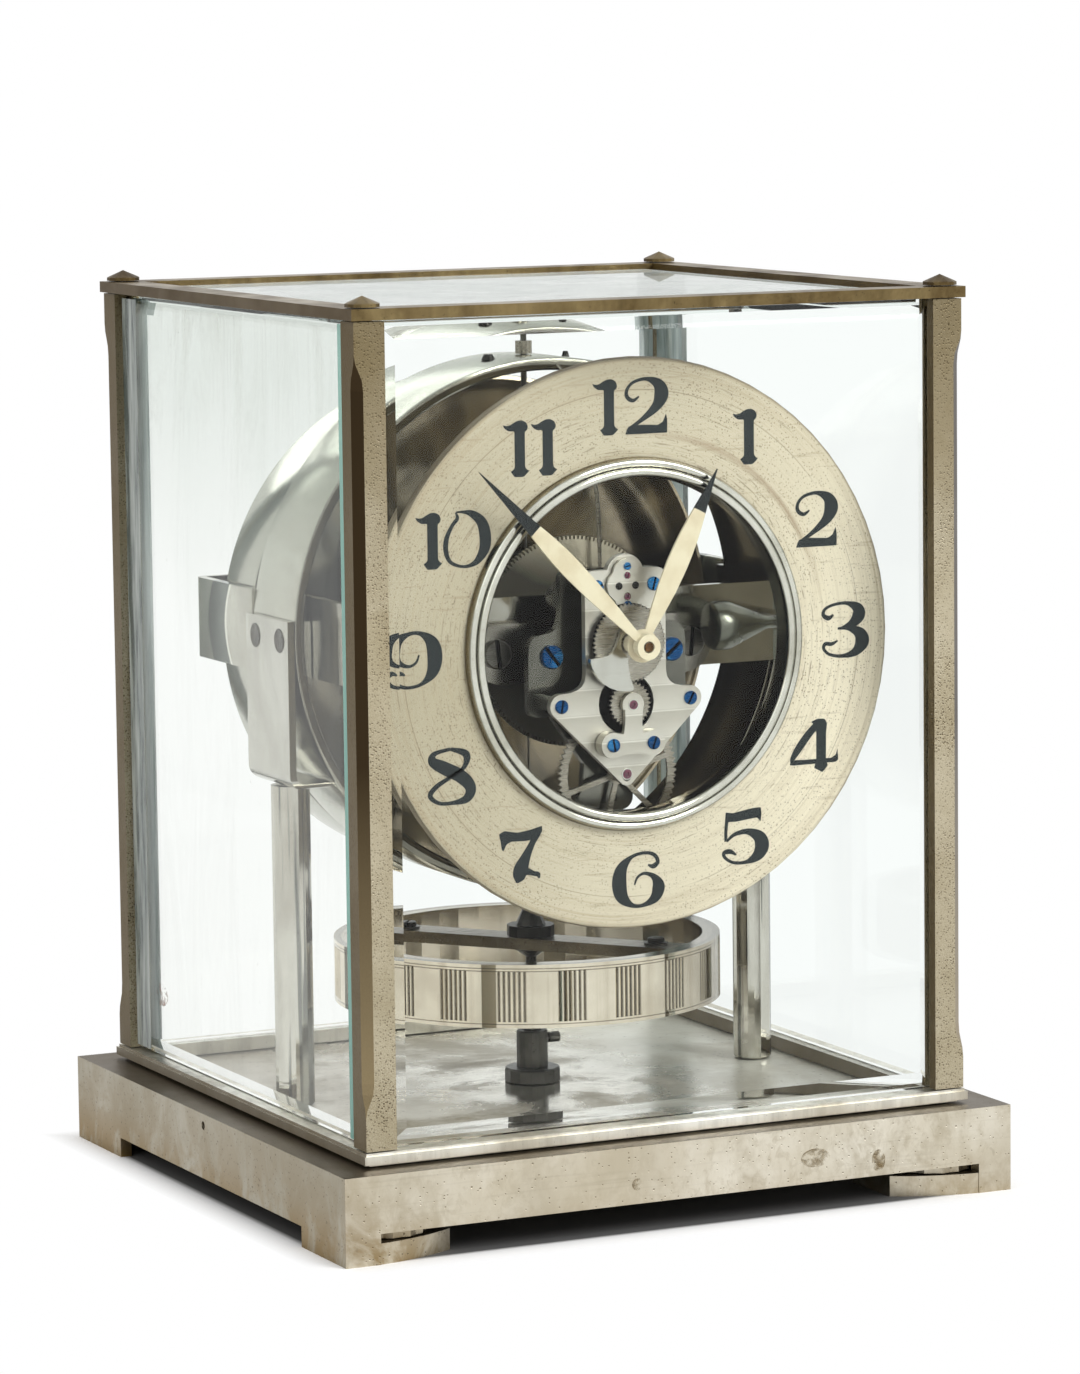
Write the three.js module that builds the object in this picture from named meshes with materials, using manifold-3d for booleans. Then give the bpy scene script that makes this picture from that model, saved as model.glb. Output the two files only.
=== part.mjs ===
// Atmospheric clock: a glass-cased table clock wound by changes in temperature.
// Units are millimetres, +Z is up, the front faces -Y, the origin is the middle of the base's footprint.
import * as THREE from 'three';
import { mergeVertices } from 'three/addons/utils/BufferGeometryUtils.js';
import Module from 'manifold-3d';

const wasm = await Module();
wasm.setup();

// Clearances
const seat = 0.3;            // gap between pieces that touch
const running = 0.3;         // gap between a shaft and its hole

// Base
const plinthWidth = 185;
const plinthDepth = 178;
const plinthHeight = 22;
const plinthWall = 3;
const plinthTop = 3;
const sideSkirtZ = 5.2;      // lower edge of the side and back skirts
const frontSkirtZ = 7.6;     // lower edge of the front skirt
const frontFootInset = 31;   // from the side of the plinth to the inner end of a front foot
const frontFootDepth = 27;
const rearFootInset = 30.5;
const footCurveRadius = 50;
const footSolidCorner = 9.3;
const ventRadius = 1.1;
const ventHeight = 19;
const wheelRadius = 10.5;    // levelling wheels
const wheelThickness = 1.8;
const wheelInset = 16;       // from the plinth's side to the wheel's axis
const wheelSetBack = 13;
const wheelScrewRadius = 2.5;
const wheelScrewTop = 15;
const wheelBossRadius = 6;
const wheelBossBottom = 10;

// Glass case
const frameWidth = 168;
const frameDepth = 164;
const bottomFrameZ = 23.0;
const bottomFrameHeight = 2.8;
const bottomLipDrop = 0.7;
const bottomLipInset = 2;
const frameBead = 0.7;
const frameRail = 9;
const caseHeadroom = 18.2;   // from the top of the hoop to the top of the case
const topFrameHeight = 2.8;
const postInset = 0.8;       // from the frame's edge to the post's face
const postWidth = 8.1;
const postDepth = 7.6;
const chamferLeg = 2.3;
const chamferStop = 7.5;     // plain length at each end of a post
const chamferRun = 9;        // length of the curve that ends a chamfer
const glassThickness = 4;
const glassEdge = 2.4;
const glassBevel = 4.6;
const glassSetBack = 1.8;    // from the post's face to the glass
const glassGroove = 1.5;
const topGlassThickness = 3.6;
const topGlassBelow = 1.2;   // top face of the glass below the frame's top
const nutRadius = 4.3;
const nutRim = 0.8;
const nutHeight = 2.7;
const caseLift = 210;

// Movement carrier: heights from here to the dial are measured from the hands' axis
const hoopAboveCone = 5.2;   // from the balance's cone up to the hoop
const windingZ = -2.7;       // axis of the drum and the ratchet wheel
const carrierSideGap = 6.5;  // from a side pane to the bracket beside it
const pillarInset = 5.9;     // from the bracket's face to the pillar's axis
const pillarRadius = 5;
const shelfZ = -37.8;
const shelfThickness = 1.5;
const bracketThickness = 1.8;
const bracketTop = 5.1;
const bracketFront = -13.9;
const bracketBack = 12.9;
const bracketBend = 4;
const bracketCorner = 2.5;
const hoopWall = 3.4;
const hoopFront = -13;
const hoopBack = 13.3;
const hoopRimStep = 0.5;
const frontBridgeZ = [-10, 10.5];
const frontBridgeInset = 6.4; // from the hoop's outside to the strap's arm
const frontBridgeBend = 9;
const frontBridgeBack = 9;
const rearBridgeZ = [-10, 10.8];
const rearBridgeBack = 52;
const rearBridgeBend = 3;
const strapThickness = 2.3;
const clampZ = [-11.5, 4.5];
const clampDepth = [-9.5, 9];

// Movement
const barHeight = 15.2;
const barHalf = 33.4;
const barScrewX = 27.2;
const backPlateThickness = 2.4;
const frontPlateThickness = 2;
const platePillarRadius = 2;
const barPillarX = 16.8;
const barPillarZ = -3.4;
const barPillarRadius = 3;
const wheelSheet = 0.7;
const centreTeeth = 54;
const smallTeeth = 30;
const centreDistance = 15.3;
const pinionTeeth = 10;
const crossedTeeth = 70;
const crossedDistance = 18.6;
const arborRadius = 1.2;
const pivotRadius = 0.9;
const coverCutRadius = 7.7;
const cockThickness = 1.4;
const cockPlate = 0.9;
const ratchetTeeth = 72;
const ratchetRadius = 26.9;
const ratchetDepth = 0.9;
const ratchetThickness = 1.6;
const housingRadius = 15;
const springWire = 0.35;
const springStudX = 6.5;
const springStudZ = 13.5;
const springStudRadius = 2.4;
const springStudLength = 18;
const headHalf = 11.2;       // front plate
const headTop = 18.4;
const waistZ = -7.5;
const armX = 18;
const armZ = -15.1;
const armRadius = 3.1;
const tipRadius = 2.2;
const cockHead = 14.4;
const cockHeadRadius = 8.2;
const bridgeFootX = 5.6;
const bridgeFootZ = -25.2;
const bridgeFootRadius = 3.3;
const plateTop = 18;         // back plate
const plateHeadLeft = 14.2;
const plateHeadRight = 13;
const plateSideLeft = 23.2;
const plateSideRight = 20.8;
const plateSideLeftZ = 2.2;
const plateSideRightZ = 3.8;
const plateWaistZ = -18.5;
const plateCorner = 2.5;
const plateTongueHalf = 8;
const plateTongueZ = -31;
const plateFootZ = [-43.4, -36.8];
const plateFootX = [-9.6, 5.6];
const plateBossX = -11.5;
const plateBossZ = 11;
const plateBossRadius = 4.1;
const plateBossDepth = 3;

// Drum
const drumInset = 3.8;       // from the hoop's outside to the drum's
const drumFront = 24;
const drumBack = 42.5;
const drumWall = 1.5;
const drumRim = 2.2;
const drumDish = 1.6;
const drumHub = 9;
const drumCoverInset = 2.6;
const drumArbor = 2.3;
const yokeRing = 14;
const yokeArmX = 11;
const yokeArm = 4;
const yokeRear = [20.4, 23.6];
const yokeCollar = 4.3;

// Dial and hands
const dialSideGap = 5.8;     // from a side pane to the dial's edge
const dialPaneGap = 13.2;    // from the front pane to the dial's face
const dialBore = 43.2;
const dialThickness = 2;
const bezelRadius = 46.8;
const bezelBore = 41.8;
const dialPostInset = 7.3;   // from the dial's bore to a dial post's axis
const dialPostZ = 1.2;
const dialPostRadius = 2.5;
const bufferRadius = 6.3;
const bufferRod = 1.6;
const bufferEnds = [21.5, 16.5, 7, 2.8]; // from the dial post's axis to the steps of the cone
const handThickness = 0.6;
const hourLength = 48;
const hourWidth = 5.8;
const hourTip = 0.765;       // share of the length at which the dark point starts
const hourAngle = 26.3;
const hourPipe = 2.4;
const minuteLength = 64;
const minuteWidth = 5.2;
const minuteTip = 0.665;
const minuteAngle = -44.7;
const hubRadius = 3.2;
const hourHubRadius = 4.2;
const leafWidest = 0.46;     // share of a hand's length at which it is widest
const pointWidth = 3.4;      // width where the dark point starts
const neckWidth = 1.7;

// Stations from front to back, as distances behind the dial's face
const hubAhead = 7.8;
const minuteAhead = 6.3;
const hourAhead = 4.4;
const bezelAhead = 2.8;
const bezelDepth = 3.4;
const bridgeDepth = 1.3;     // lower bridge and motion cock
const trainDepth = 3;        // front faces of the centre wheel and the small wheel
const frontPlateDepth = 5.2;
const crossedDepth = 10.4;
const backPlateDepth = 13.2;
const bufferDepth = 16.2;
const leverDepth = 16.4;
const barDepth = 23.2;
const frontBridgeDepth = 27.2;
const housingDepth = [30.1, 35.2];
const ratchetDepthBehind = 35.6;
const yokeDepth = [37.8, 41];

// Balance
const ringRadius = 49.25;
const ringWall = 4.5;
const ringZ = [45, 61.2];
const ringBand = 1.6;        // plain rims above and below the flutes
const fluteGroups = 20;
const flutesInGroup = 6;
const fluteGroupAngle = 9.2;
const fluteDepth = 0.4;
const crossbarAngle = -51.5;
const crossbarWidth = 9;
const crossbarZ = [57.2, 60.2];
const balanceHubRadius = 6.2;
const balanceHubTop = 63.4;
const balanceConeTop = 69;
const staffBottom = 47;
const staffRadius = 1.4;
const rollerRadius = 5;
const rollerThickness = 1.4;
const wireRadius = 0.3;
const wireClampDrop = 10.4;  // from the hoop's bore down to the wire's clamp
const wireClampHeight = 5;
const wireClampRadius = 1.8;
const stemRadius = 0.8;
const stemAbove = 5.8;       // stem above the hoop
const nutBodyRadius = 2.15;
const nutBodyHeight = 3.3;
const lockFlangeRadius = 7.35;
const lockFlangeHeight = 3.5;
const lockPostRadius = 4.15;
const lockPostTop = 35.5;
const lockPinRadius = 2.2;
const lockPinTop = 38;
const lockPinBottom = 27.5;
const thumbZ = 33;
const thumbReach = 7.6;
const staffTopBelow = 57;    // from the hands' axis down to the roller
const staffSpigot = 4;
const leverPivotZ = -40.1;   // from the hands' axis
const leverThickness = 1.4;
const leverForkY = -6.4;

// Finishes
const finish = (color, roughness, metalness) => new THREE.MeshStandardMaterial({ color, roughness, metalness });
const wornNickel = finish(0xb9b09b, 0.45, 1);
const oldBrass = finish(0x8a7a58, 0.5, 1);
const pewter = finish(0x8f8676, 0.55, 1);
const brightNickel = finish(0xc8c6bc, 0.14, 1);
const mattNickel = finish(0xbfbcb2, 0.4, 1);
const darkNickel = finish(0x77756d, 0.25, 1);
const darkSteel = finish(0x4a4a48, 0.4, 1);
const dialSilver = finish(0xc9bfa8, 0.55, 0.5);
const ivory = finish(0xe6dcc0, 0.6, 0);
const glass = new THREE.MeshStandardMaterial({
  color: 0xeaf4f0, roughness: 0.03, metalness: 0, transparent: true, opacity: 0.25,
});

const clock = new THREE.Group();

// Places that follow from the case: the carrier from the side panes, the movement from the front pane
const postX = frameWidth / 2 - postInset;
const postY = frameDepth / 2 - postInset;
const frontPaneY = postY - glassSetBack - glassThickness;
const sidePaneX = postX - glassSetBack - glassThickness;
const bracketOuter = sidePaneX - carrierSideGap;
const bracketInner = bracketOuter - bracketThickness;
const pillarX = bracketOuter - pillarInset;
const hoopRadius = bracketInner - seat;
const hoopBore = hoopRadius - hoopWall;
const dialZ = balanceConeTop + hoopAboveCone + hoopRadius;
const topFrameTop = dialZ + hoopRadius + caseHeadroom;
const staffTop = dialZ - staffTopBelow;
const frontBridgeHalf = hoopRadius - frontBridgeInset;
const drumRadius = hoopRadius - drumInset;
const dialRadius = sidePaneX - dialSideGap;
const dialPostX = dialBore + dialPostInset;
const dialFront = -frontPaneY + dialPaneGap;
const hubFront = dialFront - hubAhead;
const minuteFront = dialFront - minuteAhead;
const hourFront = dialFront - hourAhead;
const bezelFront = dialFront - bezelAhead;
const bezelBack = dialFront + bezelDepth;
const bridgeFront = dialFront + bridgeDepth;
const trainFront = dialFront + trainDepth;
const frontPlateFront = dialFront + frontPlateDepth;
const crossedFront = dialFront + crossedDepth;
const backPlateFront = dialFront + backPlateDepth;
const bufferY = dialFront + bufferDepth;
const leverFront = dialFront + leverDepth;
const barFront = dialFront + barDepth;
const frontBridgeFront = dialFront + frontBridgeDepth;
const [housingFront, housingBack] = housingDepth.map((depth) => dialFront + depth);
const ratchetFront = dialFront + ratchetDepthBehind;
const yokeFront = yokeDepth.map((depth) => dialFront + depth);
const wireClampBottom = dialZ + hoopBore - wireClampDrop;
const wireClampTop = wireClampBottom + wireClampHeight;
const stemTop = dialZ + hoopRadius + stemAbove;

// Solids
function weld(geometry) {
  const plain = geometry.clone();
  plain.deleteAttribute('normal');
  plain.deleteAttribute('uv');
  return mergeVertices(plain, 1e-5);
}

function signedVolume(geometry) {
  const p = geometry.attributes.position;
  const index = geometry.index.array;
  const [a, b, c] = [new THREE.Vector3(), new THREE.Vector3(), new THREE.Vector3()];
  let volume = 0;
  for (let i = 0; i < index.length; i += 3) {
    a.fromBufferAttribute(p, index[i]);
    b.fromBufferAttribute(p, index[i + 1]);
    c.fromBufferAttribute(p, index[i + 2]);
    volume += a.dot(b.cross(c)) / 6;
  }
  return volume;
}

function toSolid(geometry) {
  const welded = weld(geometry);
  const index = welded.index.array;
  const inwards = signedVolume(welded) < 0;
  const triangles = [];
  for (let i = 0; i < index.length; i += 3) {
    const [a, b, c] = [index[i], index[i + 1], index[i + 2]];
    if (a === b || b === c || c === a) continue;
    triangles.push(...(inwards ? [b, a, c] : [a, b, c]));
  }
  const vertices = Float32Array.from(welded.attributes.position.array);
  return new wasm.Manifold(new wasm.Mesh({
    numProp: 3, vertProperties: vertices, triVerts: Uint32Array.from(triangles),
  }));
}

function toGeometry(solid) {
  const { vertProperties, triVerts } = solid.getMesh();
  const geometry = new THREE.BufferGeometry();
  geometry.setAttribute('position', new THREE.BufferAttribute(Float32Array.from(vertProperties), 3));
  geometry.setIndex(new THREE.BufferAttribute(Uint32Array.from(triVerts), 1));
  geometry.computeVertexNormals();
  return geometry;
}

function join(...geometries) {
  const solids = geometries.map(toSolid);
  return toGeometry(solids.slice(1).reduce((whole, next) => whole.add(next), solids[0]));
}

function cut(geometry, ...tools) {
  const whole = tools.reduce((rest, tool) => rest.subtract(toSolid(tool)), toSolid(geometry));
  return toGeometry(whole);
}

// A box from its lowest corner to its highest
function block([x0, y0, z0], [x1, y1, z1]) {
  const box = new THREE.BoxGeometry(x1 - x0, y1 - y0, z1 - z0);
  return box.translate((x0 + x1) / 2, (y0 + y1) / 2, (z0 + z1) / 2);
}

// Turned pieces: the profile is a closed loop of [radius, height along the axis]
function turned(profile, segments = 32) {
  const loop = profile.map(([r, h]) => new THREE.Vector2(r, h));
  const onAxis = profile[0][0] === 0 && profile[profile.length - 1][0] === 0;
  if (!onAxis) loop.push(loop[0].clone());
  return new THREE.LatheGeometry(loop, segments);
}

const turnedUp = (profile, segments) => turned(profile, segments).rotateX(Math.PI / 2);

function turnedRight(profile, segments) {
  return turned(profile, segments).rotateZ(-Math.PI / 2);
}

// Turned about the front-to-back axis: heights in the profile are places along Y
const turnedBack = turned;

function disc(radius, y0, y1, segments = 16) {
  return turnedBack([[0, y0], [radius, y0], [radius, y1], [0, y1]], segments);
}

function rod(radius, z0, z1, segments = 16) {
  return turnedUp([[0, z0], [radius, z0], [radius, z1], [0, z1]], segments);
}

function washer(inner, outer, y0, y1, segments = 48) {
  return turnedBack([[inner, y0], [outer, y0], [outer, y1], [inner, y1]], segments);
}

// A flat piece whose outline lies in the XZ plane, with its front face at `front`
function plate(shape, front, thickness, curveSegments = 8) {
  const solid = new THREE.ExtrudeGeometry(shape, { depth: thickness, bevelEnabled: false, curveSegments });
  return solid.rotateX(Math.PI / 2).translate(0, front + thickness, 0);
}

// A flat piece whose outline lies in the XY plane, from `bottom` up
function slab(shape, bottom, height, curveSegments = 8) {
  const solid = new THREE.ExtrudeGeometry(shape, { depth: height, bevelEnabled: false, curveSegments });
  return solid.translate(0, 0, bottom);
}

function polygon(points) {
  return new THREE.Shape(points.map(([x, y]) => new THREE.Vector2(x, y)));
}

function circleHole(shape, x, y, radius) {
  const hole = new THREE.Path();
  hole.absarc(x, y, radius, 0, 2 * Math.PI, true);
  shape.holes.push(hole);
}

function rectangle(x0, y0, x1, y1) {
  return polygon([[x0, y0], [x1, y0], [x1, y1], [x0, y1]]);
}

// A rectangle ring: the outline of a frame of the given rail
function frameShape(width, depth, rail) {
  const shape = rectangle(-width / 2, -depth / 2, width / 2, depth / 2);
  const [x, y] = [width / 2 - rail, depth / 2 - rail];
  const inside = [[-x, -y], [-x, y], [x, y], [x, -y]].map(([a, b]) => new THREE.Vector2(a, b));
  shape.holes.push(new THREE.Path(inside));
  return shape;
}

// A solid through rings of equal point counts, closed by flat ends
function loft(rings) {
  const count = rings[0].length;
  const positions = rings.flat().flat();
  const index = [];
  for (let ring = 0; ring < rings.length - 1; ring += 1) {
    for (let i = 0; i < count; i += 1) {
      const [a, b] = [ring * count + i, ring * count + (i + 1) % count];
      index.push(a, b, b + count, a, b + count, a + count);
    }
  }
  const last = (rings.length - 1) * count;
  for (let i = 1; i < count - 1; i += 1) {
    index.push(0, i + 1, i);
    index.push(last, last + i, last + i + 1);
  }
  const geometry = new THREE.BufferGeometry();
  geometry.setAttribute('position', new THREE.Float32BufferAttribute(positions, 3));
  geometry.setIndex(index);
  return geometry;
}

// A pane of glass lying in the XY plane, bevelled on its upper side
function pane(width, height, thickness) {
  const ring = (inset, z) => {
    const [x, y] = [width / 2 - inset, height / 2 - inset];
    return [[-x, -y, z], [x, -y, z], [x, y, z], [-x, y, z]];
  };
  return loft([ring(0, 0), ring(0, glassEdge), ring(glassGroove, glassEdge), ring(glassBevel, thickness)]);
}

// A round outline with pointed teeth: a tip at the phase angle, a root the given share of a pitch later
function toothedShape(teeth, rootRadius, tipRadius, phase = 0, rootShare = 0.5) {
  const pitch = (2 * Math.PI) / teeth;
  const points = [];
  for (let k = 0; k < teeth; k += 1) {
    for (const [radius, share] of [[tipRadius, 0], [rootRadius, rootShare]]) {
      const angle = phase + (k + share) * pitch;
      points.push([radius * Math.cos(angle), radius * Math.sin(angle)]);
    }
  }
  return polygon(points);
}

// Windows between the spokes of a wheel
function spokeWindows(shape, spokes, inner, outer, spokeWidth, turn, steps = 4) {
  for (let k = 0; k < spokes; k += 1) {
    const middle = turn + ((k + 0.5) * 2 * Math.PI) / spokes;
    const reach = Math.PI / spokes;
    const half = (radius) => reach - Math.asin(spokeWidth / 2 / radius);
    const points = [];
    for (let i = 0; i <= steps; i += 1) {
      const angle = middle - half(outer) + (2 * half(outer) * i) / steps;
      points.push(new THREE.Vector2(outer * Math.cos(angle), outer * Math.sin(angle)));
    }
    for (const side of [1, -1]) {
      const angle = middle + side * half(inner);
      points.push(new THREE.Vector2(inner * Math.cos(angle), inner * Math.sin(angle)));
    }
    shape.holes.push(new THREE.Path(points));
  }
}

function add(name, geometry, material, x = 0, y = 0, z = 0, parent = clock) {
  const mesh = new THREE.Mesh(toGeometry(toSolid(geometry)), material);
  mesh.name = name;
  mesh.position.set(x, y, z);
  parent.add(mesh);
  return mesh;
}

// Base
const wheelX = plinthWidth / 2 - wheelInset;
const wheelY = -plinthDepth / 2 + wheelSetBack;
const wheelZ = sideSkirtZ + seat;

// Plan of the left front foot: square at the corner, swept back along a curve to its inner end
function frontFootShape(margin) {
  const left = -plinthWidth / 2;
  const front = -plinthDepth / 2;
  const inner = left + frontFootInset;
  const start = left + plinthWall + margin;
  const centre = new THREE.Vector2(start, front + footCurveRadius);
  const end = Math.asin((inner - start) / footCurveRadius);
  const shape = new THREE.Shape();
  shape.moveTo(left, front);
  shape.lineTo(start, front);
  shape.absarc(centre.x, centre.y, footCurveRadius, -Math.PI / 2, -Math.PI / 2 + end, false);
  shape.lineTo(inner, front + frontFootDepth);
  shape.lineTo(left, front + frontFootDepth);
  return shape;
}

const mirrored = (geometry) => geometry.clone().scale(-1, 1, 1);

function plinthSolid() {
  const [x, y] = [plinthWidth / 2, plinthDepth / 2];
  const [innerX, innerY] = [x - plinthWall, y - plinthWall];
  const shell = block([-x, -y, 0], [x, y, plinthHeight]);
  const hollow = block([-innerX, -innerY, -1], [innerX, innerY, plinthHeight - plinthTop]);
  const sideGap = block([-x - 1, -y + frontFootDepth, -1], [x + 1, y - rearFootInset, sideSkirtZ]);
  const backGap = block([-x + rearFootInset, innerY - 1, -1], [x - rearFootInset, y + 1, sideSkirtZ]);
  const solidX = x - footSolidCorner;
  const frontGap = block([-solidX, -y - 1, -1], [solidX, -innerY + 1, frontSkirtZ]);
  const vent = disc(ventRadius, -5, 5, 12).rotateZ(Math.PI / 2).translate(-x, 0.5, ventHeight);
  const foot = slab(frontFootShape(1.5), 0, sideSkirtZ);
  const corner = block([-x, -y, 0], [-solidX, -innerY + 1, frontSkirtZ + 1]);
  const boss = rod(wheelBossRadius, wheelBossBottom, plinthHeight - plinthTop / 2, 16)
    .translate(-wheelX, wheelY, 0);
  const socket = rod(wheelScrewRadius + running, -1, wheelScrewTop + running, 12)
    .translate(-wheelX, wheelY, 0);
  const gapped = cut(shell, hollow, sideGap, backGap, frontGap, vent);
  const footed = join(gapped, foot, mirrored(foot), corner, mirrored(corner), boss, mirrored(boss));
  return cut(footed, socket, mirrored(socket));
}

function levellingWheel() {
  const top = wheelZ + wheelThickness;
  const ridges = toothedShape(14, wheelRadius - 0.6, wheelRadius);
  const screw = rod(wheelScrewRadius, seat, wheelScrewTop, 10);
  return join(slab(ridges, wheelZ, top - wheelZ), screw);
}

add('plinth', plinthSolid(), wornNickel);
add('levelling_wheel_left', levellingWheel(), darkNickel, -wheelX, wheelY);
add('levelling_wheel_right', levellingWheel(), darkNickel, wheelX, wheelY);

// Glass case
const glassCase = new THREE.Group();
clock.add(glassCase);
const frameTop = bottomFrameZ + bottomFrameHeight;
const topFrameZ = topFrameTop - topFrameHeight;
const postBottom = frameTop + seat;
const postTop = topFrameZ - seat;
const corners = [['front_left', -1, -1], ['front_right', 1, -1], ['back_left', -1, 1], ['back_right', 1, 1]];

function bottomFrame() {
  const main = slab(frameShape(frameWidth, frameDepth, frameRail), bottomFrameZ, bottomFrameHeight - frameBead);
  const beadShape = frameShape(frameWidth - 1.2, frameDepth - 1.2, frameRail - 0.6);
  const bead = slab(beadShape, bottomFrameZ + bottomFrameHeight - frameBead - 0.01, frameBead + 0.01);
  const lipShape = frameShape(frameWidth - 2 * bottomLipInset, frameDepth - 2 * bottomLipInset,
    frameRail - bottomLipInset);
  const lip = slab(lipShape, bottomFrameZ - bottomLipDrop, bottomLipDrop + 0.01);
  return join(main, bead, lip);
}

function topFrame() {
  return slab(frameShape(frameWidth, frameDepth, frameRail), topFrameZ, topFrameHeight);
}

// The outer corner of a post is cut back between two sloped stops
function chamferCutter() {
  const depth = chamferLeg / Math.SQRT2;
  const outside = 4;
  const reach = chamferLeg * 2;
  const [low, high] = [postBottom + chamferStop, postTop - chamferStop];
  const outline = new THREE.Shape();
  outline.moveTo(-outside, low);
  outline.lineTo(-0.05, low);
  outline.bezierCurveTo(0.1, low + chamferRun / 2, depth, low + chamferRun / 2, depth, low + chamferRun);
  outline.lineTo(depth, high - chamferRun);
  outline.bezierCurveTo(depth, high - chamferRun / 2, 0.1, high - chamferRun / 2, -0.05, high);
  outline.lineTo(-outside, high);
  const wedge = new THREE.ExtrudeGeometry(outline, { depth: reach, bevelEnabled: false, curveSegments: 4 });
  return wedge.rotateX(Math.PI / 2).translate(0, reach / 2, 0).rotateZ(Math.PI / 4);
}

// Built at the front left corner, with grooves for the two panes
function cornerPost() {
  const [x, y] = [-postX, -postY];
  const body = block([x, y, postBottom], [x + postWidth, y + postDepth, postTop]);
  const [z0, z1] = [postBottom - 1, postTop + 1];
  const fit = glassEdge + 2 * seat;
  const front = block(
    [x + postWidth - glassGroove, y + glassSetBack + glassThickness - glassEdge - seat, z0],
    [x + postWidth + 1, y + glassSetBack + glassThickness - glassEdge - seat + fit, z1],
  );
  const side = block(
    [x + glassSetBack + glassThickness - glassEdge - seat, y + postDepth - glassGroove, z0],
    [x + glassSetBack + glassThickness - glassEdge - seat + fit, y + postDepth + 1, z1],
  );
  return cut(body, chamferCutter().translate(x, y, 0), front, side);
}

const post = cornerPost();
for (const [name, sx, sy] of corners) {
  add(`case_post_${name}`, toGeometry(toSolid(post.clone().scale(-sx, -sy, 1))), pewter, 0, 0, 0, glassCase);
}

const paneHeight = postTop - postBottom;
const paneMiddle = (postTop + postBottom) / 2;
const frontPaneWidth = 2 * (postX - postWidth + glassGroove - seat);
const sidePaneWidth = 2 * (postY - postDepth + glassGroove - seat);
const frontPane = pane(frontPaneWidth, paneHeight, glassThickness).rotateX(Math.PI / 2);
const sidePane = pane(paneHeight, sidePaneWidth, glassThickness).rotateY(Math.PI / 2);
add('pane_front', frontPane, glass, 0, -frontPaneY, paneMiddle, glassCase);
add('pane_back', frontPane.clone().rotateZ(Math.PI), glass, 0, frontPaneY, paneMiddle, glassCase);
add('pane_right', sidePane, glass, sidePaneX, 0, paneMiddle, glassCase);
add('pane_left', sidePane.clone().rotateZ(Math.PI), glass, -sidePaneX, 0, paneMiddle, glassCase);
const topPaneInset = 2 * (frameRail + seat);
const topPane = pane(frameWidth - topPaneInset, frameDepth - topPaneInset, topGlassThickness);
add('pane_top', topPane, glass, 0, 0, topFrameTop - topGlassBelow - topGlassThickness, glassCase);
add('case_bottom_frame', bottomFrame(), pewter, 0, 0, 0, glassCase);
add('case_top_frame', topFrame(), oldBrass, 0, 0, 0, glassCase);

const coneNut = turnedUp([[0, 0], [nutRadius, 0], [nutRadius, nutRim], [nutRadius - 0.5, nutRim + 0.25],
  [0, nutHeight]], 14);
for (const [name, sx, sy] of corners) {
  const [x, y] = [sx * (postX - postWidth / 2), sy * (postY - postDepth / 2)];
  add(`case_nut_${name}`, coneNut.clone(), oldBrass, x, y, topFrameTop + seat, glassCase);
}

// Movement carrier, movement, drum and dial, in a group whose origin is on the hands' axis
const movement = new THREE.Group();
movement.position.z = dialZ;
clock.add(movement);
const shelfTop = shelfZ + shelfThickness;
const shelfInner = Math.sqrt((hoopRadius + 2 * seat) ** 2 - shelfTop ** 2);

function pillar() {
  const [bottom, top] = [plinthHeight + seat, dialZ + shelfZ - seat];
  return turnedUp([[0, bottom], [pillarRadius - 0.4, bottom], [pillarRadius, bottom + 0.4],
    [pillarRadius, top], [0, top]], 18);
}

// Bent plate: down the outside of the hoop, then in under it over the pillar
function bracket() {
  const [outer, inner] = [-bracketOuter, -bracketInner];
  const profile = new THREE.Shape();
  profile.moveTo(outer, bracketTop);
  profile.lineTo(outer, shelfZ + bracketBend);
  profile.absarc(outer + bracketBend, shelfZ + bracketBend, bracketBend, Math.PI, 1.5 * Math.PI, false);
  profile.lineTo(-shelfInner, shelfZ);
  profile.lineTo(-shelfInner, shelfTop);
  const innerBend = bracketBend - bracketThickness;
  profile.lineTo(inner + innerBend, shelfTop);
  profile.absarc(inner + innerBend, shelfTop + innerBend, innerBend, 1.5 * Math.PI, Math.PI, true);
  profile.lineTo(inner, bracketTop);
  const bent = plate(profile, bracketFront, bracketBack - bracketFront, 5);
  const cornerCut = (y, direction) => {
    const square = block([outer - 1, y - bracketCorner, shelfZ - 1],
      [-shelfInner + 1, y + bracketCorner, shelfZ + bracketCorner]);
    const round = turnedRight([[0, outer - 2], [bracketCorner, outer - 2],
      [bracketCorner, -shelfInner + 2], [0, -shelfInner + 2]], 24)
      .translate(0, y - direction * bracketCorner, shelfZ + bracketCorner);
    const half = 4 * bracketCorner;
    const rest = block([outer - 2, -half, shelfZ - 2], [0, half, shelfZ + 2 * half]);
    return cut(square, round, rest.translate(0, y - direction * (bracketCorner + half), 0));
  };
  return cut(bent, cornerCut(bracketFront, -1), cornerCut(bracketBack, 1));
}

// Fills the space between the curved hoop and the flat arm of the front bridge
function clampBlock() {
  const armOuter = -frontBridgeHalf;
  const [y0, y1] = clampDepth;
  const outside = hoopBore - seat;
  const body = block([-outside - 1, y0, clampZ[0]], [armOuter - seat, y1, clampZ[1]]);
  const keep = disc(outside, y0 - 1, y1 + 1, 128);
  return toGeometry(toSolid(body).intersect(toSolid(keep)));
}

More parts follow.
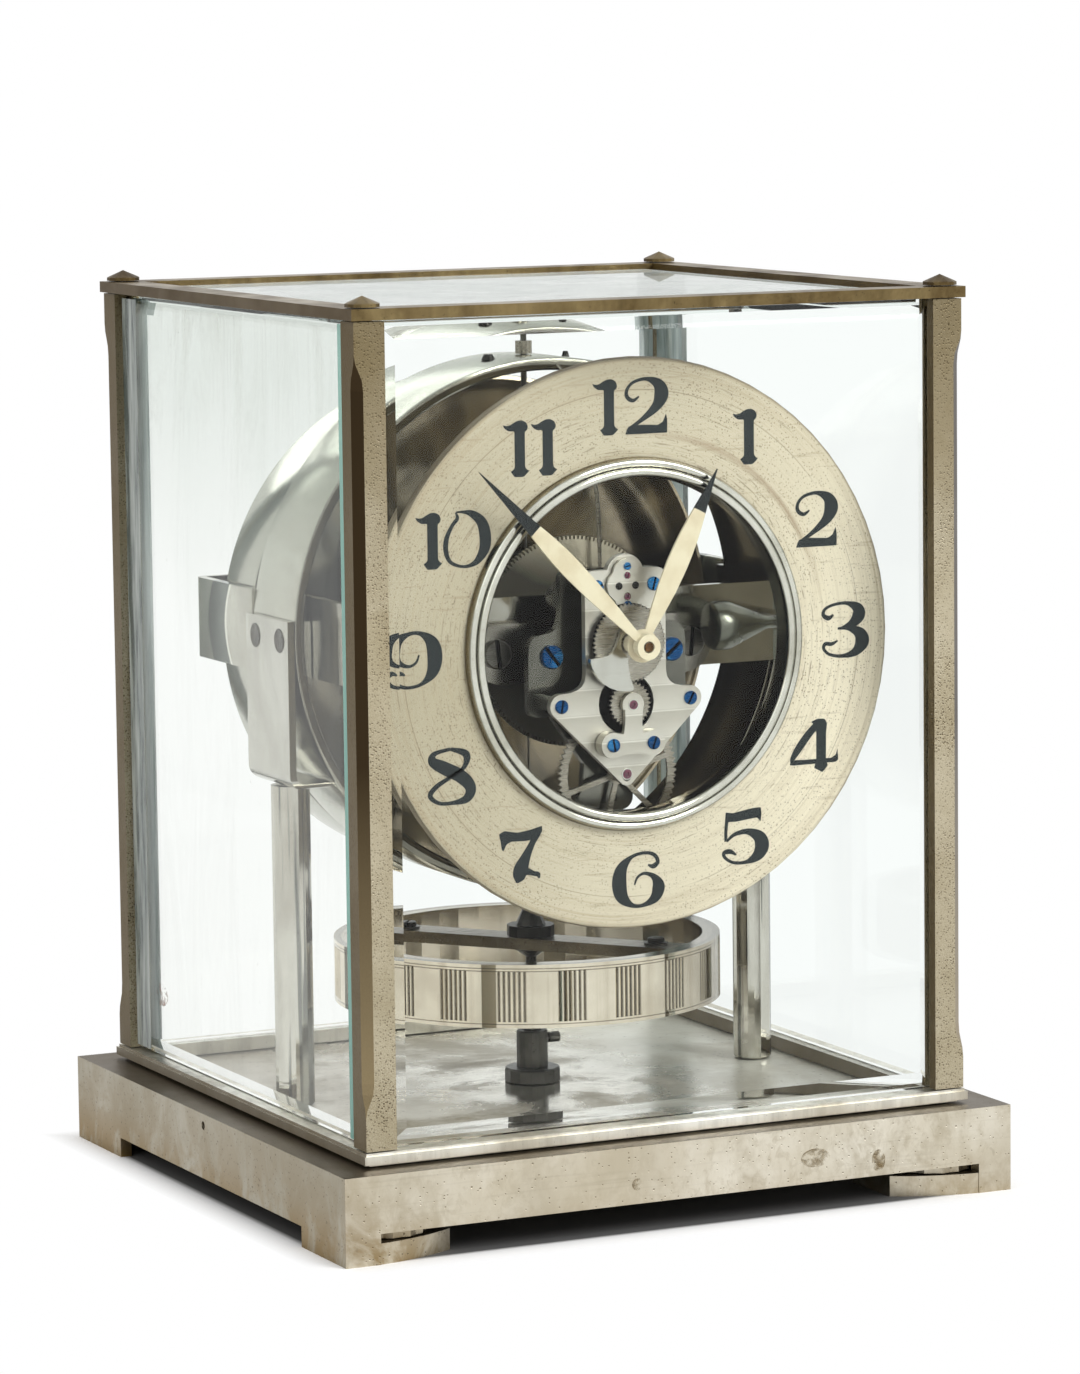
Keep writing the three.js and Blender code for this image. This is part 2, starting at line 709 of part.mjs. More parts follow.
function hoop() {
  const [f, b, s] = [hoopFront, hoopBack, hoopRimStep];
  const ring = turnedBack([
    [hoopBore, f + s], [hoopBore + s, f], [hoopRadius - s, f], [hoopRadius, f + s],
    [hoopRadius, b], [hoopBore, b],
  ], 50);
  const stemHole = rod(stemRadius + running, hoopBore - 5, hoopRadius + 5, 12);
  const staffHole = rod(staffRadius + 1, -hoopRadius - 5, -hoopBore + 5, 16);
  return cut(ring, stemHole, staffHole);
}

// U-shaped strap in the XY plane, open towards +Y: arms at +-half, front face at `front`
function strapShape(half, front, back, bend) {
  const shape = new THREE.Shape();
  shape.moveTo(-half, back);
  shape.lineTo(-half, front + bend);
  shape.absarc(-half + bend, front + bend, bend, Math.PI, 1.5 * Math.PI, false);
  shape.lineTo(half - bend, front);
  shape.absarc(half - bend, front + bend, bend, -Math.PI / 2, 0, false);
  shape.lineTo(half, back);
  const [inner, inside, small] = [half - strapThickness, front + strapThickness, bend - strapThickness];
  shape.lineTo(inner, back);
  shape.lineTo(inner, inside + small);
  shape.absarc(inner - small, inside + small, small, 0, -Math.PI / 2, true);
  shape.lineTo(-inner + small, inside);
  shape.absarc(-inner + small, inside + small, small, -Math.PI / 2, Math.PI, true);
  shape.lineTo(-inner, back);
  return shape;
}

function frontBridge() {
  const [z0, z1] = frontBridgeZ;
  const outline = strapShape(frontBridgeHalf, frontBridgeFront, frontBridgeBack, frontBridgeBend);
  const strap = slab(outline, z0, z1 - z0, 5);
  const arborHole = disc(2 + running, frontBridgeFront - 1, frontBridgeFront + strapThickness + 1, 20)
    .translate(0, 0, windingZ);
  return cut(strap, arborHole);
}

function rearBridge() {
  const [z0, z1] = rearBridgeZ;
  const arms = hoopBack + seat;
  const half = bracketInner - seat / 2 - 0.05;
  const outline = strapShape(half, -rearBridgeBack, -arms, rearBridgeBend);
  const strap = slab(outline, z0, z1 - z0, 4).rotateZ(Math.PI);
  const arborHole = disc(drumArbor + running, rearBridgeBack - strapThickness - 1, rearBridgeBack + 1, 24)
    .translate(0, 0, windingZ);
  return cut(strap, arborHole);
}

add('pillar_left', pillar(), brightNickel, -pillarX, 0, 0);
add('pillar_right', pillar(), brightNickel, pillarX, 0, 0);
const leftBracket = bracket();
add('bracket_left', leftBracket, brightNickel, 0, 0, 0, movement);
add('bracket_right', toGeometry(toSolid(mirrored(leftBracket))), brightNickel, 0, 0, 0, movement);
const leftClamp = clampBlock();
add('clamp_block_left', leftClamp, brightNickel, 0, 0, 0, movement);
add('clamp_block_right', toGeometry(toSolid(mirrored(leftClamp))), brightNickel, 0, 0, 0, movement);
add('hoop', hoop(), brightNickel, 0, 0, 0, movement);
add('front_bridge', frontBridge(), brightNickel, 0, 0, 0, movement);
add('rear_bridge', rearBridge(), brightNickel, 0, 0, 0, movement);

// Movement
const smallZ = -centreDistance;
const crossedZ = smallZ - crossedDistance;
const plateBack = frontPlateFront + frontPlateThickness;
const backPlateBack = backPlateFront + backPlateThickness;
const barBack = frontBridgeFront - seat;

function mountingBar() {
  const half = barHeight / 2;
  const shape = new THREE.Shape();
  shape.absarc(barHalf - half, 0, half, -Math.PI / 2, Math.PI / 2, false);
  shape.absarc(-barHalf + half, 0, half, Math.PI / 2, 1.5 * Math.PI, false);
  circleHole(shape, 0, windingZ - barPillarZ, 3);
  return plate(shape, barFront, barBack - barFront, 7).translate(0, 0, barPillarZ);
}

// A round hole through both plates on the middle line
function plateBore(height, radius) {
  return disc(radius, frontPlateFront - 1, backPlateBack + 1, radius > 5 ? 24 : 8).translate(0, 0, height);
}

// Dark plate behind the train, wider on the left, with a tongue down to a cross foot
function backPlate() {
  const c = plateCorner;
  const shape = new THREE.Shape();
  shape.moveTo(-plateHeadLeft, plateTop - c);
  shape.quadraticCurveTo(-plateHeadLeft, plateTop, -plateHeadLeft + c, plateTop);
  shape.lineTo(plateHeadRight - c, plateTop);
  shape.quadraticCurveTo(plateHeadRight, plateTop, plateHeadRight, plateTop - c);
  shape.lineTo(plateHeadRight, plateSideRightZ + c);
  shape.quadraticCurveTo(plateHeadRight, plateSideRightZ, plateHeadRight + c, plateSideRightZ);
  shape.quadraticCurveTo(plateSideRight, plateSideRightZ, plateSideRight, plateSideRightZ - 2 * c);
  shape.lineTo(plateSideRight, plateWaistZ + c);
  shape.quadraticCurveTo(plateSideRight, plateWaistZ, plateSideRight - c, plateWaistZ);
  shape.lineTo(plateTongueHalf, plateTongueZ);
  const [footLow, footHigh] = plateFootZ;
  const [footLeft, footRight] = plateFootX;
  const round = (footHigh - footLow) / 2;
  const footMiddle = (footHigh + footLow) / 2;
  shape.absarc(footRight - round, footMiddle, round, Math.PI / 3, -Math.PI / 2, true);
  shape.absarc(footLeft + round, footMiddle, round, -Math.PI / 2, -1.25 * Math.PI, true);
  shape.lineTo(-plateTongueHalf, plateTongueZ);
  shape.lineTo(-plateSideLeft + 2.5 * c, plateWaistZ);
  shape.lineTo(-plateSideLeft + c, plateWaistZ);
  shape.quadraticCurveTo(-plateSideLeft, plateWaistZ, -plateSideLeft, plateWaistZ + c);
  shape.lineTo(-plateSideLeft, plateSideLeftZ - 2 * c);
  shape.quadraticCurveTo(-plateSideLeft, plateSideLeftZ, -plateSideLeft + 1.6 * c, plateSideLeftZ);
  shape.quadraticCurveTo(-plateHeadLeft, plateSideLeftZ, -plateHeadLeft, plateSideLeftZ + 2 * c);
  const body = cut(
    plate(shape, backPlateFront, backPlateThickness, 4),
    plateBore(0, arborRadius + running),
    plateBore(smallZ, pivotRadius + running),
    plateBore(crossedZ, pivotRadius + running),
    plateBore(leverPivotZ, pivotRadius + running),
  );
  const headScrew = headHalf - armRadius;
  const posts = [[-armX, armZ], [armX, armZ], [-headScrew, cockHead], [headScrew, cockHead]].map(([x, z]) => (
    disc(platePillarRadius, plateBack + seat, backPlateFront + 0.5, 8).translate(x, 0, z)
  ));
  const legs = [-barPillarX, barPillarX].map((x) => (
    disc(barPillarRadius, backPlateBack - 0.5, barFront - seat, 12).translate(x, 0, barPillarZ)
  ));
  const boss = disc(plateBossRadius, backPlateBack - 0.2, backPlateBack + plateBossDepth, 18)
    .translate(plateBossX, 0, plateBossZ);
  return join(body, ...posts, ...legs, boss);
}

// Bright plate: trilobed head, straight body, two arms and a pointed foot
function frontPlate() {
  const shape = new THREE.Shape();
  const lobe = 5.2;
  const headZ = cockHead + 2.6;
  shape.moveTo(-headHalf, headTop - 2.5);
  shape.quadraticCurveTo(-headHalf, headTop, -headHalf + 2.5, headTop);
  shape.lineTo(-lobe, headTop);
  shape.absarc(0, headZ, lobe, Math.PI - 0.27, 0.27, true);
  shape.lineTo(headHalf - 2.5, headTop);
  shape.quadraticCurveTo(headHalf, headTop, headHalf, headTop - 2.5);
  shape.lineTo(headHalf, waistZ);
  shape.quadraticCurveTo(headHalf, armZ + armRadius, armX - 0.5, armZ + armRadius);
  shape.absarc(armX, armZ, armRadius, Math.PI / 2, -0.86, true);
  shape.lineTo(tipRadius * 0.75, crossedZ - tipRadius * 0.66);
  shape.absarc(0, crossedZ, tipRadius, -0.72, -Math.PI + 0.72, true);
  shape.lineTo(-armX - armRadius * 0.65, armZ - armRadius * 0.76);
  shape.absarc(-armX, armZ, armRadius, Math.PI + 0.86, Math.PI / 2, true);
  shape.quadraticCurveTo(-headHalf, armZ + armRadius, -headHalf, waistZ);
  return cut(
    plate(shape, frontPlateFront, frontPlateThickness, 5),
    plateBore(smallZ, coverCutRadius),
    plateBore(0, 3.2),
    plateBore(crossedZ, pivotRadius + running),
  );
}

// Four-lobed cover over the upper jewels
function upperCock() {
  const lobes = [[0, 2.8, 4], [0, -2.6, 3.6], [-1.5, 0, 4.1], [1.5, 0, 4.1]];
  const back = frontPlateFront - seat;
  const discs = lobes.map(([x, z, r]) => disc(r, back - cockPlate, back, 12).translate(x, 0, z));
  return join(...discs).translate(0, 0, cockHead);
}

// Two-screw foot on the plate, with a narrow neck up to a jewel in front of the small wheel
function lowerBridge() {
  const back = frontPlateFront - seat;
  const foot = new THREE.Shape();
  foot.absarc(bridgeFootX, bridgeFootZ, bridgeFootRadius, -Math.PI / 2, Math.PI / 2, false);
  foot.quadraticCurveTo(0, bridgeFootZ + 1.6, -bridgeFootX, bridgeFootZ + bridgeFootRadius);
  foot.absarc(-bridgeFootX, bridgeFootZ, bridgeFootRadius, Math.PI / 2, 1.5 * Math.PI, false);
  foot.quadraticCurveTo(0, bridgeFootZ - 1.6, bridgeFootX, bridgeFootZ - bridgeFootRadius);
  const base = plate(foot, bridgeFront, back - bridgeFront, 6);
  const neck = new THREE.Shape();
  neck.moveTo(-3.6, bridgeFootZ);
  neck.quadraticCurveTo(-1.9, bridgeFootZ + 4, -2.3, smallZ - 1);
  neck.absarc(0, smallZ, 3, Math.PI + 0.4, -0.4, true);
  neck.quadraticCurveTo(1.9, bridgeFootZ + 4, 3.6, bridgeFootZ);
  const arm = plate(neck, bridgeFront, cockThickness, 5);
  const bore = disc(pivotRadius + running, bridgeFront - 1, bridgeFront + cockThickness + 1, 12)
    .translate(0, 0, smallZ);
  return cut(join(base, arm), bore);
}

// Curved guard in front of the centre wheel: a neck beside the hands' pipe that widens to a crescent,
// with its foot outside the wheel's rim. The outline is in shares of the centre distance.
function motionCock() {
  const outline = [
    [-0.765, -0.209], [-0.76, -0.28], [-0.74, -0.35], [-0.69, -0.44], [-0.62, -0.54], [-0.53, -0.63],
    [-0.42, -0.7], [-0.3, -0.745], [-0.18, -0.77], [-0.08, -0.778], [0, -0.765], [0.013, -0.72],
    [-0.04, -0.575], [-0.078, -0.39], [-0.09, -0.21], [-0.17, -0.14], [-0.215, -0.03], [-0.2, 0.09],
    [-0.11, 0.2], [-0.11, 0.25], [-0.17, 0.265], [-0.235, 0.12], [-0.3, -0.035], [-0.36, -0.12],
    [-0.43, -0.165], [-0.55, -0.195],
  ].map(([x, z]) => [x * centreDistance, z * centreDistance]);
  const guard = plate(polygon(outline), bridgeFront, cockThickness);
  const foot = disc(0.8, bridgeFront + 0.1, frontPlateFront - seat, 10)
    .translate(-0.598 * centreDistance, 0, -0.422 * centreDistance);
  return join(guard, foot);
}

const centreModule = (2 * centreDistance) / (centreTeeth + smallTeeth);
const crossedModule = (2 * crossedDistance) / (pinionTeeth + crossedTeeth);
const wheelShape = (teeth, size, phase) => toothedShape(
  teeth, (teeth * size) / 2 - 1.3 * size, (teeth * size) / 2 + 0.8 * size, phase,
);
const down = -Math.PI / 2;

function centreWheel() {
  const shape = wheelShape(centreTeeth, centreModule, down);
  const wheel = plate(shape, trainFront, wheelSheet);
  const arbor = disc(arborRadius, hubFront + 0.6, backPlateBack, 10);
  const collar = disc(2, trainFront - 0.3, trainFront + wheelSheet + 0.3, 12);
  return join(wheel, arbor, collar);
}

function smallWheel() {
  const shape = wheelShape(smallTeeth, centreModule, -down + Math.PI / smallTeeth);
  const wheel = plate(shape, trainFront, wheelSheet);
  const arbor = disc(pivotRadius, bridgeFront + 0.2, backPlateBack, 8);
  const pinionShape = wheelShape(pinionTeeth, crossedModule, down);
  const pinion = plate(pinionShape, crossedFront - 0.7, wheelSheet + 1.4);
  return join(wheel, arbor, pinion);
}

function crossedWheel() {
  const shape = wheelShape(crossedTeeth, crossedModule, -down + Math.PI / crossedTeeth);
  const rim = (crossedTeeth * crossedModule) / 2 - 2.2;
  spokeWindows(shape, 6, 2.6, rim, 1.3, THREE.MathUtils.degToRad(16));
  const wheel = plate(shape, crossedFront, wheelSheet);
  const arbor = disc(pivotRadius, frontPlateFront + 0.2, backPlateBack, 8);
  const collar = disc(1.9, crossedFront - 0.6, crossedFront + wheelSheet + 0.6, 12);
  return join(wheel, arbor, collar);
}

// Large dark wheel on the winding arbor, with the collar on which the drum's fork turns
function ratchetWheel() {
  const teeth = toothedShape(ratchetTeeth, ratchetRadius - ratchetDepth, ratchetRadius, 0, 0.12);
  const wheel = plate(teeth, ratchetFront, ratchetThickness);
  const collar = disc(yokeCollar, ratchetFront + ratchetThickness - 0.2, yokeFront[1] + 1, 16);
  const arbor = disc(2, barFront + 1, ratchetFront + 0.2, 10);
  return join(wheel, collar, arbor);
}

function springHousing() {
  return washer(2 + running, housingRadius, housingFront, housingBack + 0.1, 18);
}

// Thin wire from a stud behind the back plate, over the ratchet's rim, up to the hoop
function detentSpring() {
  const [x, z] = [springStudX, springStudZ];
  const hoopTop = hoopRadius;
  const studBack = backPlateBack + seat + springStudLength;
  const stud = disc(springStudRadius, backPlateBack + seat, studBack, 16).translate(x, 0, z);
  const start = studBack - 1.4;
  const end = hoopFront - seat;
  const route = new THREE.CatmullRomCurve3([
    new THREE.Vector3(x, start, z + springStudRadius / 2),
    new THREE.Vector3(x, start, z + (hoopTop - z) * 0.16),
    new THREE.Vector3(x - 0.6, start + 1, z + (hoopTop - z) * 0.44),
    new THREE.Vector3(x - 2.5, (start + end) / 2, z + (hoopTop - z) * 0.73),
    new THREE.Vector3(x - 3.4, end - 2.2, hoopTop - 2.2),
    new THREE.Vector3(x - 3.4, end, hoopTop - 2),
  ]);
  const section = new THREE.Shape();
  section.absarc(0, 0, springWire, 0, 2 * Math.PI, false);
  const wire = new THREE.ExtrudeGeometry(section, {
    steps: 14, bevelEnabled: false, extrudePath: route, curveSegments: 2,
  });
  return join(stud, wire);
}

add('mounting_bar', mountingBar(), mattNickel, 0, 0, 0, movement);
add('back_plate', backPlate(), darkNickel, 0, 0, 0, movement);
add('front_plate', frontPlate(), mattNickel, 0, 0, 0, movement);
add('upper_cock', upperCock(), mattNickel, 0, 0, 0, movement);
add('lower_bridge', lowerBridge(), mattNickel, 0, 0, 0, movement);
add('motion_cock', motionCock(), brightNickel, 0, 0, 0, movement);
add('centre_wheel', centreWheel(), mattNickel, 0, 0, 0, movement);
add('small_wheel', smallWheel(), mattNickel, 0, 0, smallZ, movement);
add('crossed_wheel', crossedWheel(), mattNickel, 0, 0, crossedZ, movement);
add('ratchet_wheel', ratchetWheel(), darkNickel, 0, 0, windingZ, movement);
add('spring_housing', springHousing(), darkNickel, 0, 0, windingZ, movement);
add('detent_spring', detentSpring(), darkSteel, 0, 0, 0, movement);

// Drum
function drumShell() {
  const [f, b] = [drumFront, drumBack];
  const inner = drumRadius - drumWall;
  const ring = turnedBack([
    [drumArbor + running, f], [drumHub, f], [drumHub + 1.2, f + drumDish],
    [drumRadius - drumRim - 2.4, f + drumDish], [drumRadius - 1, f], [drumRadius, f + 1],
    [drumRadius, b], [inner, b], [inner, f + drumDish + drumWall],
    [drumArbor + running, f + drumDish + drumWall],
  ], 42);
  return ring;
}

function drumCover() {
  const outer = drumRadius - drumWall - seat;
  const face = drumBack - drumCoverInset;
  return turnedBack([
    [drumArbor + running, face - drumWall], [outer, face - drumWall], [outer, face],
    [drumHub, drumBack], [drumArbor + running, drumBack],
  ], 24);
}

// Fork with two arms that pass the wire, and the arbor that carries the drum
function drumYoke() {
  const [r0, r1] = yokeRear;
  const [f0, f1] = yokeFront;
  const rear = disc(yokeRing, r0, r1, 16);
  const front = washer(yokeCollar + running, yokeRing, f0, f1, 16);
  const half = yokeArm / 2;
  const arms = [-yokeArmX, yokeArmX].map((x) => block([x - half, f0 + 1, -half], [x + half, r1 - 1, half]));
  const arbor = disc(drumArbor, r1 - 1, rearBridgeBack + 1.5, 16);
  return join(rear, front, ...arms, arbor);
}

add('drum_shell', drumShell(), brightNickel, 0, 0, windingZ, movement);
add('drum_cover', drumCover(), brightNickel, 0, 0, windingZ, movement);
add('drum_yoke', drumYoke(), darkSteel, 0, 0, windingZ, movement);

// Dial and hands
const dialBack = dialFront + dialThickness;

function dialRing() {
  return turnedBack([
    [dialBore, dialFront], [dialRadius - 0.4, dialFront], [dialRadius, dialBack], [dialBore, dialBack],
  ], 64);
}

function bezel() {
  const seatY = dialFront - seat;
  const spigot = dialBore - seat;
  return turnedBack([
    [bezelBore, bezelBack], [bezelBore + 0.3, bezelFront + 1.2], [bezelBore + 1.6, bezelFront],
    [bezelBore + 3, bezelFront + 0.3], [bezelRadius, seatY], [spigot, seatY], [spigot, bezelBack],
  ], 48);
}

function dialPost(withSocket) {
  const body = disc(dialPostRadius, dialBack + seat, frontBridgeFront - seat, 16);
  const socket = rod(bufferRod + running, 0, 4 * dialPostRadius, 12).rotateY(-Math.PI / 2)
    .translate(-dialPostRadius + 1.2, bufferY, 0);
  return withSocket ? cut(body, socket) : body;
}

function stopBuffer() {
  const [end, shoulder, neck, tail] = bufferEnds.map((reach) => dialPostX - reach);
  return turnedRight([
    [0, end], [bufferRadius - 1.6, end], [bufferRadius - 0.4, end + 0.7], [bufferRadius, end + 2],
    [bufferRadius, shoulder], [bufferRod, neck + 2], [bufferRod, tail + 1.2], [0, tail + 1.2],
  ], 16).translate(0, bufferY, dialPostZ);
}

// A leaf: narrow at the hub, widest near the middle, then a straight dark point
function handShape(length, width, tipShare) {
  const widest = length * leafWidest;
  const tip = length * tipShare;
  const half = [neckWidth / 2, width / 2, pointWidth / 2];
  const shape = new THREE.Shape();
  shape.moveTo(-half[0], 1);
  shape.bezierCurveTo(-half[0] * 1.3, widest * 0.25, -half[1], widest * 0.6, -half[1], widest);
  shape.quadraticCurveTo(-half[1], (widest + tip) / 2, -half[2], tip);
  shape.lineTo(0, length);
  shape.lineTo(half[2], tip);
  shape.quadraticCurveTo(half[1], (widest + tip) / 2, half[1], widest);
  shape.bezierCurveTo(half[1], widest * 0.6, half[0] * 1.3, widest * 0.25, half[0], 1);
  return shape;
}

function hand(shape, front, hub) {
  const blade = plate(shape, front, handThickness, 4);
  return cut(join(blade, ...hub.solids), ...hub.bores);
}

function hourHand() {
  const back = trainFront - 1.2;
  const bore = arborRadius + running;
  const hub = {
    solids: [
      disc(hourHubRadius, hourFront, hourFront + handThickness, 20),
      disc(hourPipe, hourFront, back, 14),
    ],
    bores: [disc(bore, hourFront - 1, back + 1, 14)],
  };
  return hand(handShape(hourLength, hourWidth, hourTip), hourFront, hub);
}

function minuteHand() {
  const bore = arborRadius + running;
  const back = minuteFront + handThickness;
  const hub = {
    solids: [disc(hubRadius, hubFront, back + 0.5, 20)],
    bores: [disc(bore, hubFront - 1, back + 1.5, 14)],
  };
  return hand(handShape(minuteLength, minuteWidth, minuteTip), minuteFront, hub);
}

add('dial_ring', dialRing(), dialSilver, 0, 0, 0, movement);
add('bezel', bezel(), brightNickel, 0, 0, 0, movement);
add('dial_post_left', dialPost(false), brightNickel, -dialPostX, 0, dialPostZ, movement);
add('dial_post_right', dialPost(true), brightNickel, dialPostX, 0, dialPostZ, movement);
add('stop_buffer', stopBuffer(), darkNickel, 0, 0, 0, movement);
add('hour_hand', hourHand(), ivory, 0, 0, 0, movement).rotation.y = THREE.MathUtils.degToRad(hourAngle);
add('minute_hand', minuteHand(), ivory, 0, 0, 0, movement).rotation.y = THREE.MathUtils.degToRad(minuteAngle);

// Balance
const barEnd = ringRadius - ringWall - seat;

// Ring with groups of shallow V flutes between two plain rims, skinned column by column
function balanceRing() {
  const [z0, z1] = ringZ;
  const [band0, band1] = [z0 + ringBand, z1 - ringBand];
  const group = (2 * Math.PI) / fluteGroups;
  const span = THREE.MathUtils.degToRad(fluteGroupAngle);
  const positions = [];
  const index = [];
  const vertex = (radius, angle, z) => {
    positions.push(radius * Math.cos(angle), radius * Math.sin(angle), z);
    return positions.length / 3 - 1;
  };
  const column = (angle) => [z0, band0, band1, z1].map((z) => vertex(ringRadius, angle, z));
  const [low, high] = [vertex(0, 0, z0), vertex(0, 0, z1)];
  const columns = [];
  for (let g = 0; g < fluteGroups; g += 1) {
    for (let k = 0; k <= flutesInGroup; k += 1) {
      columns.push({ edge: column(g * group + (k * span) / flutesInGroup), fluted: k < flutesInGroup });
    }
    columns.push({ edge: column(g * group + (span + group) / 2), fluted: false });
  }
  const quad = (a, b, c, d) => index.push(a, b, c, a, c, d);
  columns.forEach((here, i) => {
    const next = columns[(i + 1) % columns.length];
    const [a, b] = [here.edge, next.edge];
    quad(a[0], b[0], b[1], a[1]);
    quad(a[2], b[2], b[3], a[3]);
    if (here.fluted) {
      const middle = Math.floor(i / (flutesInGroup + 2)) * group
        + (((i % (flutesInGroup + 2)) + 0.5) * span) / flutesInGroup;
      const [foot, head] = [band0, band1].map((z) => vertex(ringRadius - fluteDepth, middle, z));
      quad(a[1], foot, head, a[2]);
      quad(foot, b[1], b[2], head);
      index.push(a[1], b[1], foot, a[2], head, b[2]);
    } else {
      quad(a[1], b[1], b[2], a[2]);
    }
    index.push(low, b[0], a[0], high, a[3], b[3]);
  });
  const geometry = new THREE.BufferGeometry();
  geometry.setAttribute('position', new THREE.Float32BufferAttribute(positions, 3));
  geometry.setIndex(index);
  return cut(geometry, rod(ringRadius - ringWall, z0 - 1, z1 + 1, 48));
}

function balanceCrossbar() {
  const [z0, z1] = crossbarZ;
  const half = crossbarWidth / 2;
  const bar = block([-barEnd - 1, -half, z0], [barEnd + 1, half, z1]);
  const keep = rod(barEnd, z0 - 1, z1 + 1, 48);
  const trimmed = toGeometry(toSolid(bar).intersect(toSolid(keep)));
  return cut(trimmed, rod(staffRadius + running, z0 - 1, z1 + 1, 14));
}

// Staff with the hub above the bar, a cone, and the roller that meets the lever
function balanceHub() {
  const under = crossbarZ[0] - seat;
  const over = crossbarZ[1] + seat;
  return turnedUp([
    [0, staffBottom], [staffRadius, staffBottom], [staffRadius, under - 2], [balanceHubRadius - 2, under],
    [staffRadius, under], [staffRadius, over], [balanceHubRadius, over],
    [balanceHubRadius, balanceHubTop], [4, balanceHubTop], [staffRadius, balanceConeTop],
    [staffRadius, staffTop],
    [rollerRadius, staffTop], [rollerRadius, staffTop + rollerThickness],
    [1.1, staffTop + rollerThickness], [1.1, staffTop + staffSpigot], [0, staffTop + staffSpigot],
  ], 12);
}

function suspensionStem() {
  const [z0, z1] = [wireClampBottom, wireClampTop];
  const bore = rod(wireRadius + 0.1, z0 - 1, z0 + 2, 8);
  const body = turnedUp([
    [0, z0], [wireClampRadius, z0], [wireClampRadius, z1], [stemRadius, z1 + 0.8],
    [stemRadius, stemTop], [0, stemTop],
  ], 10);
  return cut(body, bore);
}

function suspensionNut() {
  const bottom = dialZ + hoopRadius + seat;
  const knurl = slab(toothedShape(12, nutBodyRadius - 0.2, nutBodyRadius), bottom, nutBodyHeight);
  const bore = rod(stemRadius + running, bottom - 1, bottom + nutBodyHeight + 1, 12);
  return cut(knurl, bore);
}

function lockPost() {
  const bottom = plinthHeight + seat;
  const flangeTop = bottom + lockFlangeHeight;
  const bore = lockPinRadius + running;
  const body = turnedUp([
    [0, bottom], [lockFlangeRadius, bottom],
    [lockFlangeRadius, flangeTop - 0.5], [lockFlangeRadius - 0.5, flangeTop],
    [lockPostRadius, flangeTop], [lockPostRadius, lockPostTop - 0.3], [lockPostRadius - 0.3, lockPostTop],
    [bore, lockPostTop], [bore, lockPinBottom - seat], [0, lockPinBottom - seat],
  ], 14);
  const screwHole = rod(1 + running, 0, 2 * lockPostRadius, 10).rotateY(Math.PI / 2).translate(bore - 1, 0, thumbZ);
  return cut(body, screwHole);
}

function lockPin() {
  return turnedUp([[0, lockPinBottom], [lockPinRadius, lockPinBottom], [lockPinRadius, lockPinTop - 1],
    [lockPinRadius - 1, lockPinTop], [0, lockPinTop]], 12);
}

function lockThumbscrew() {
  const head = lockPostRadius + seat;
  const shank = turnedRight([[0, lockPinRadius + 2 * seat], [1, lockPinRadius + 2 * seat], [1, head + 0.2],
    [1.4, head + 0.2], [1.4, thumbReach], [0, thumbReach]], 10);
  return shank;
}

// Flat lever under the movement with a long tail back to the roller
function palletLever() {
  const z0 = 0.05 - staffTopBelow;
  const blade = new THREE.Shape();
  blade.absarc(0, leverPivotZ, 3, 0, Math.PI, false);
  blade.lineTo(-1.4, z0);
  blade.lineTo(1.4, z0);
  const flat = plate(blade, leverFront, leverThickness, 6);
  const tail = block([-1.4, leverFront, z0], [1.4, leverForkY, z0 + 1.3]);
  const arbor = disc(pivotRadius, backPlateFront + 0.3, leverFront + 1, 8).translate(0, 0, leverPivotZ);
  return join(flat, tail, arbor);
}

const turnBar = THREE.MathUtils.degToRad(crossbarAngle);
add('balance_ring', balanceRing(), brightNickel);
add('balance_crossbar', balanceCrossbar(), darkNickel).rotation.z = turnBar;
add('balance_hub', balanceHub(), darkSteel);
add('suspension_wire', rod(wireRadius, staffTop + staffSpigot + seat, wireClampBottom + 1.6, 8), darkSteel);
add('suspension_stem', suspensionStem(), darkSteel);
add('suspension_nut', suspensionNut(), mattNickel);
add('lock_post', lockPost(), darkSteel);
add('lock_pin', lockPin(), darkSteel);
add('lock_thumbscrew', lockThumbscrew(), darkSteel, 0, 0, thumbZ);
add('pallet_lever', palletLever(), darkSteel, 0, 0, 0, movement);

export default clock;
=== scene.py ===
"""Looks of the atmospheric clock: materials, dial numerals, screws, jewels, studio and camera."""

from math import asin, atan2, cos, pi, radians, sin

import bmesh
import bpy
from mathutils import Matrix, Vector

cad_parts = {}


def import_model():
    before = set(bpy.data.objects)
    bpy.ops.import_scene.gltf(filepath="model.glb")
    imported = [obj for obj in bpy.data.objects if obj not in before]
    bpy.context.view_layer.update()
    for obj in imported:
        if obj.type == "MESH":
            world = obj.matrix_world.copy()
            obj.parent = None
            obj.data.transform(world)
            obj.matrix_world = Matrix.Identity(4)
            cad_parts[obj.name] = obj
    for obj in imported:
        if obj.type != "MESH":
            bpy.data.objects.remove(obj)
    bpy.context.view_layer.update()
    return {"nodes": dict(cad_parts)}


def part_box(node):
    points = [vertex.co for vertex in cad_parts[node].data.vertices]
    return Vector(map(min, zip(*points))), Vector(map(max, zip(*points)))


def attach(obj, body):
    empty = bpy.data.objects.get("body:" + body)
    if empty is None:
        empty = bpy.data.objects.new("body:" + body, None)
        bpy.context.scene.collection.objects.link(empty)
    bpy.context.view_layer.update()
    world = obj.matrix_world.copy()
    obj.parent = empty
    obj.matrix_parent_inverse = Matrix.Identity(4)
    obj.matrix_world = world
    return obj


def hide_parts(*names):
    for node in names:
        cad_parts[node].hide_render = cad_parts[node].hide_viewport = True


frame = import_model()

nodes = frame["nodes"]
scene = bpy.context.scene
MM = 0.001

# Places taken from the frame


def middle(node):
    low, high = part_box(node)
    return (low + high) / 2


def face(node, axis, side):
    """Coordinate of a node's lowest (side 0) or highest (side 1) point along an axis."""
    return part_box(node)[side][axis]


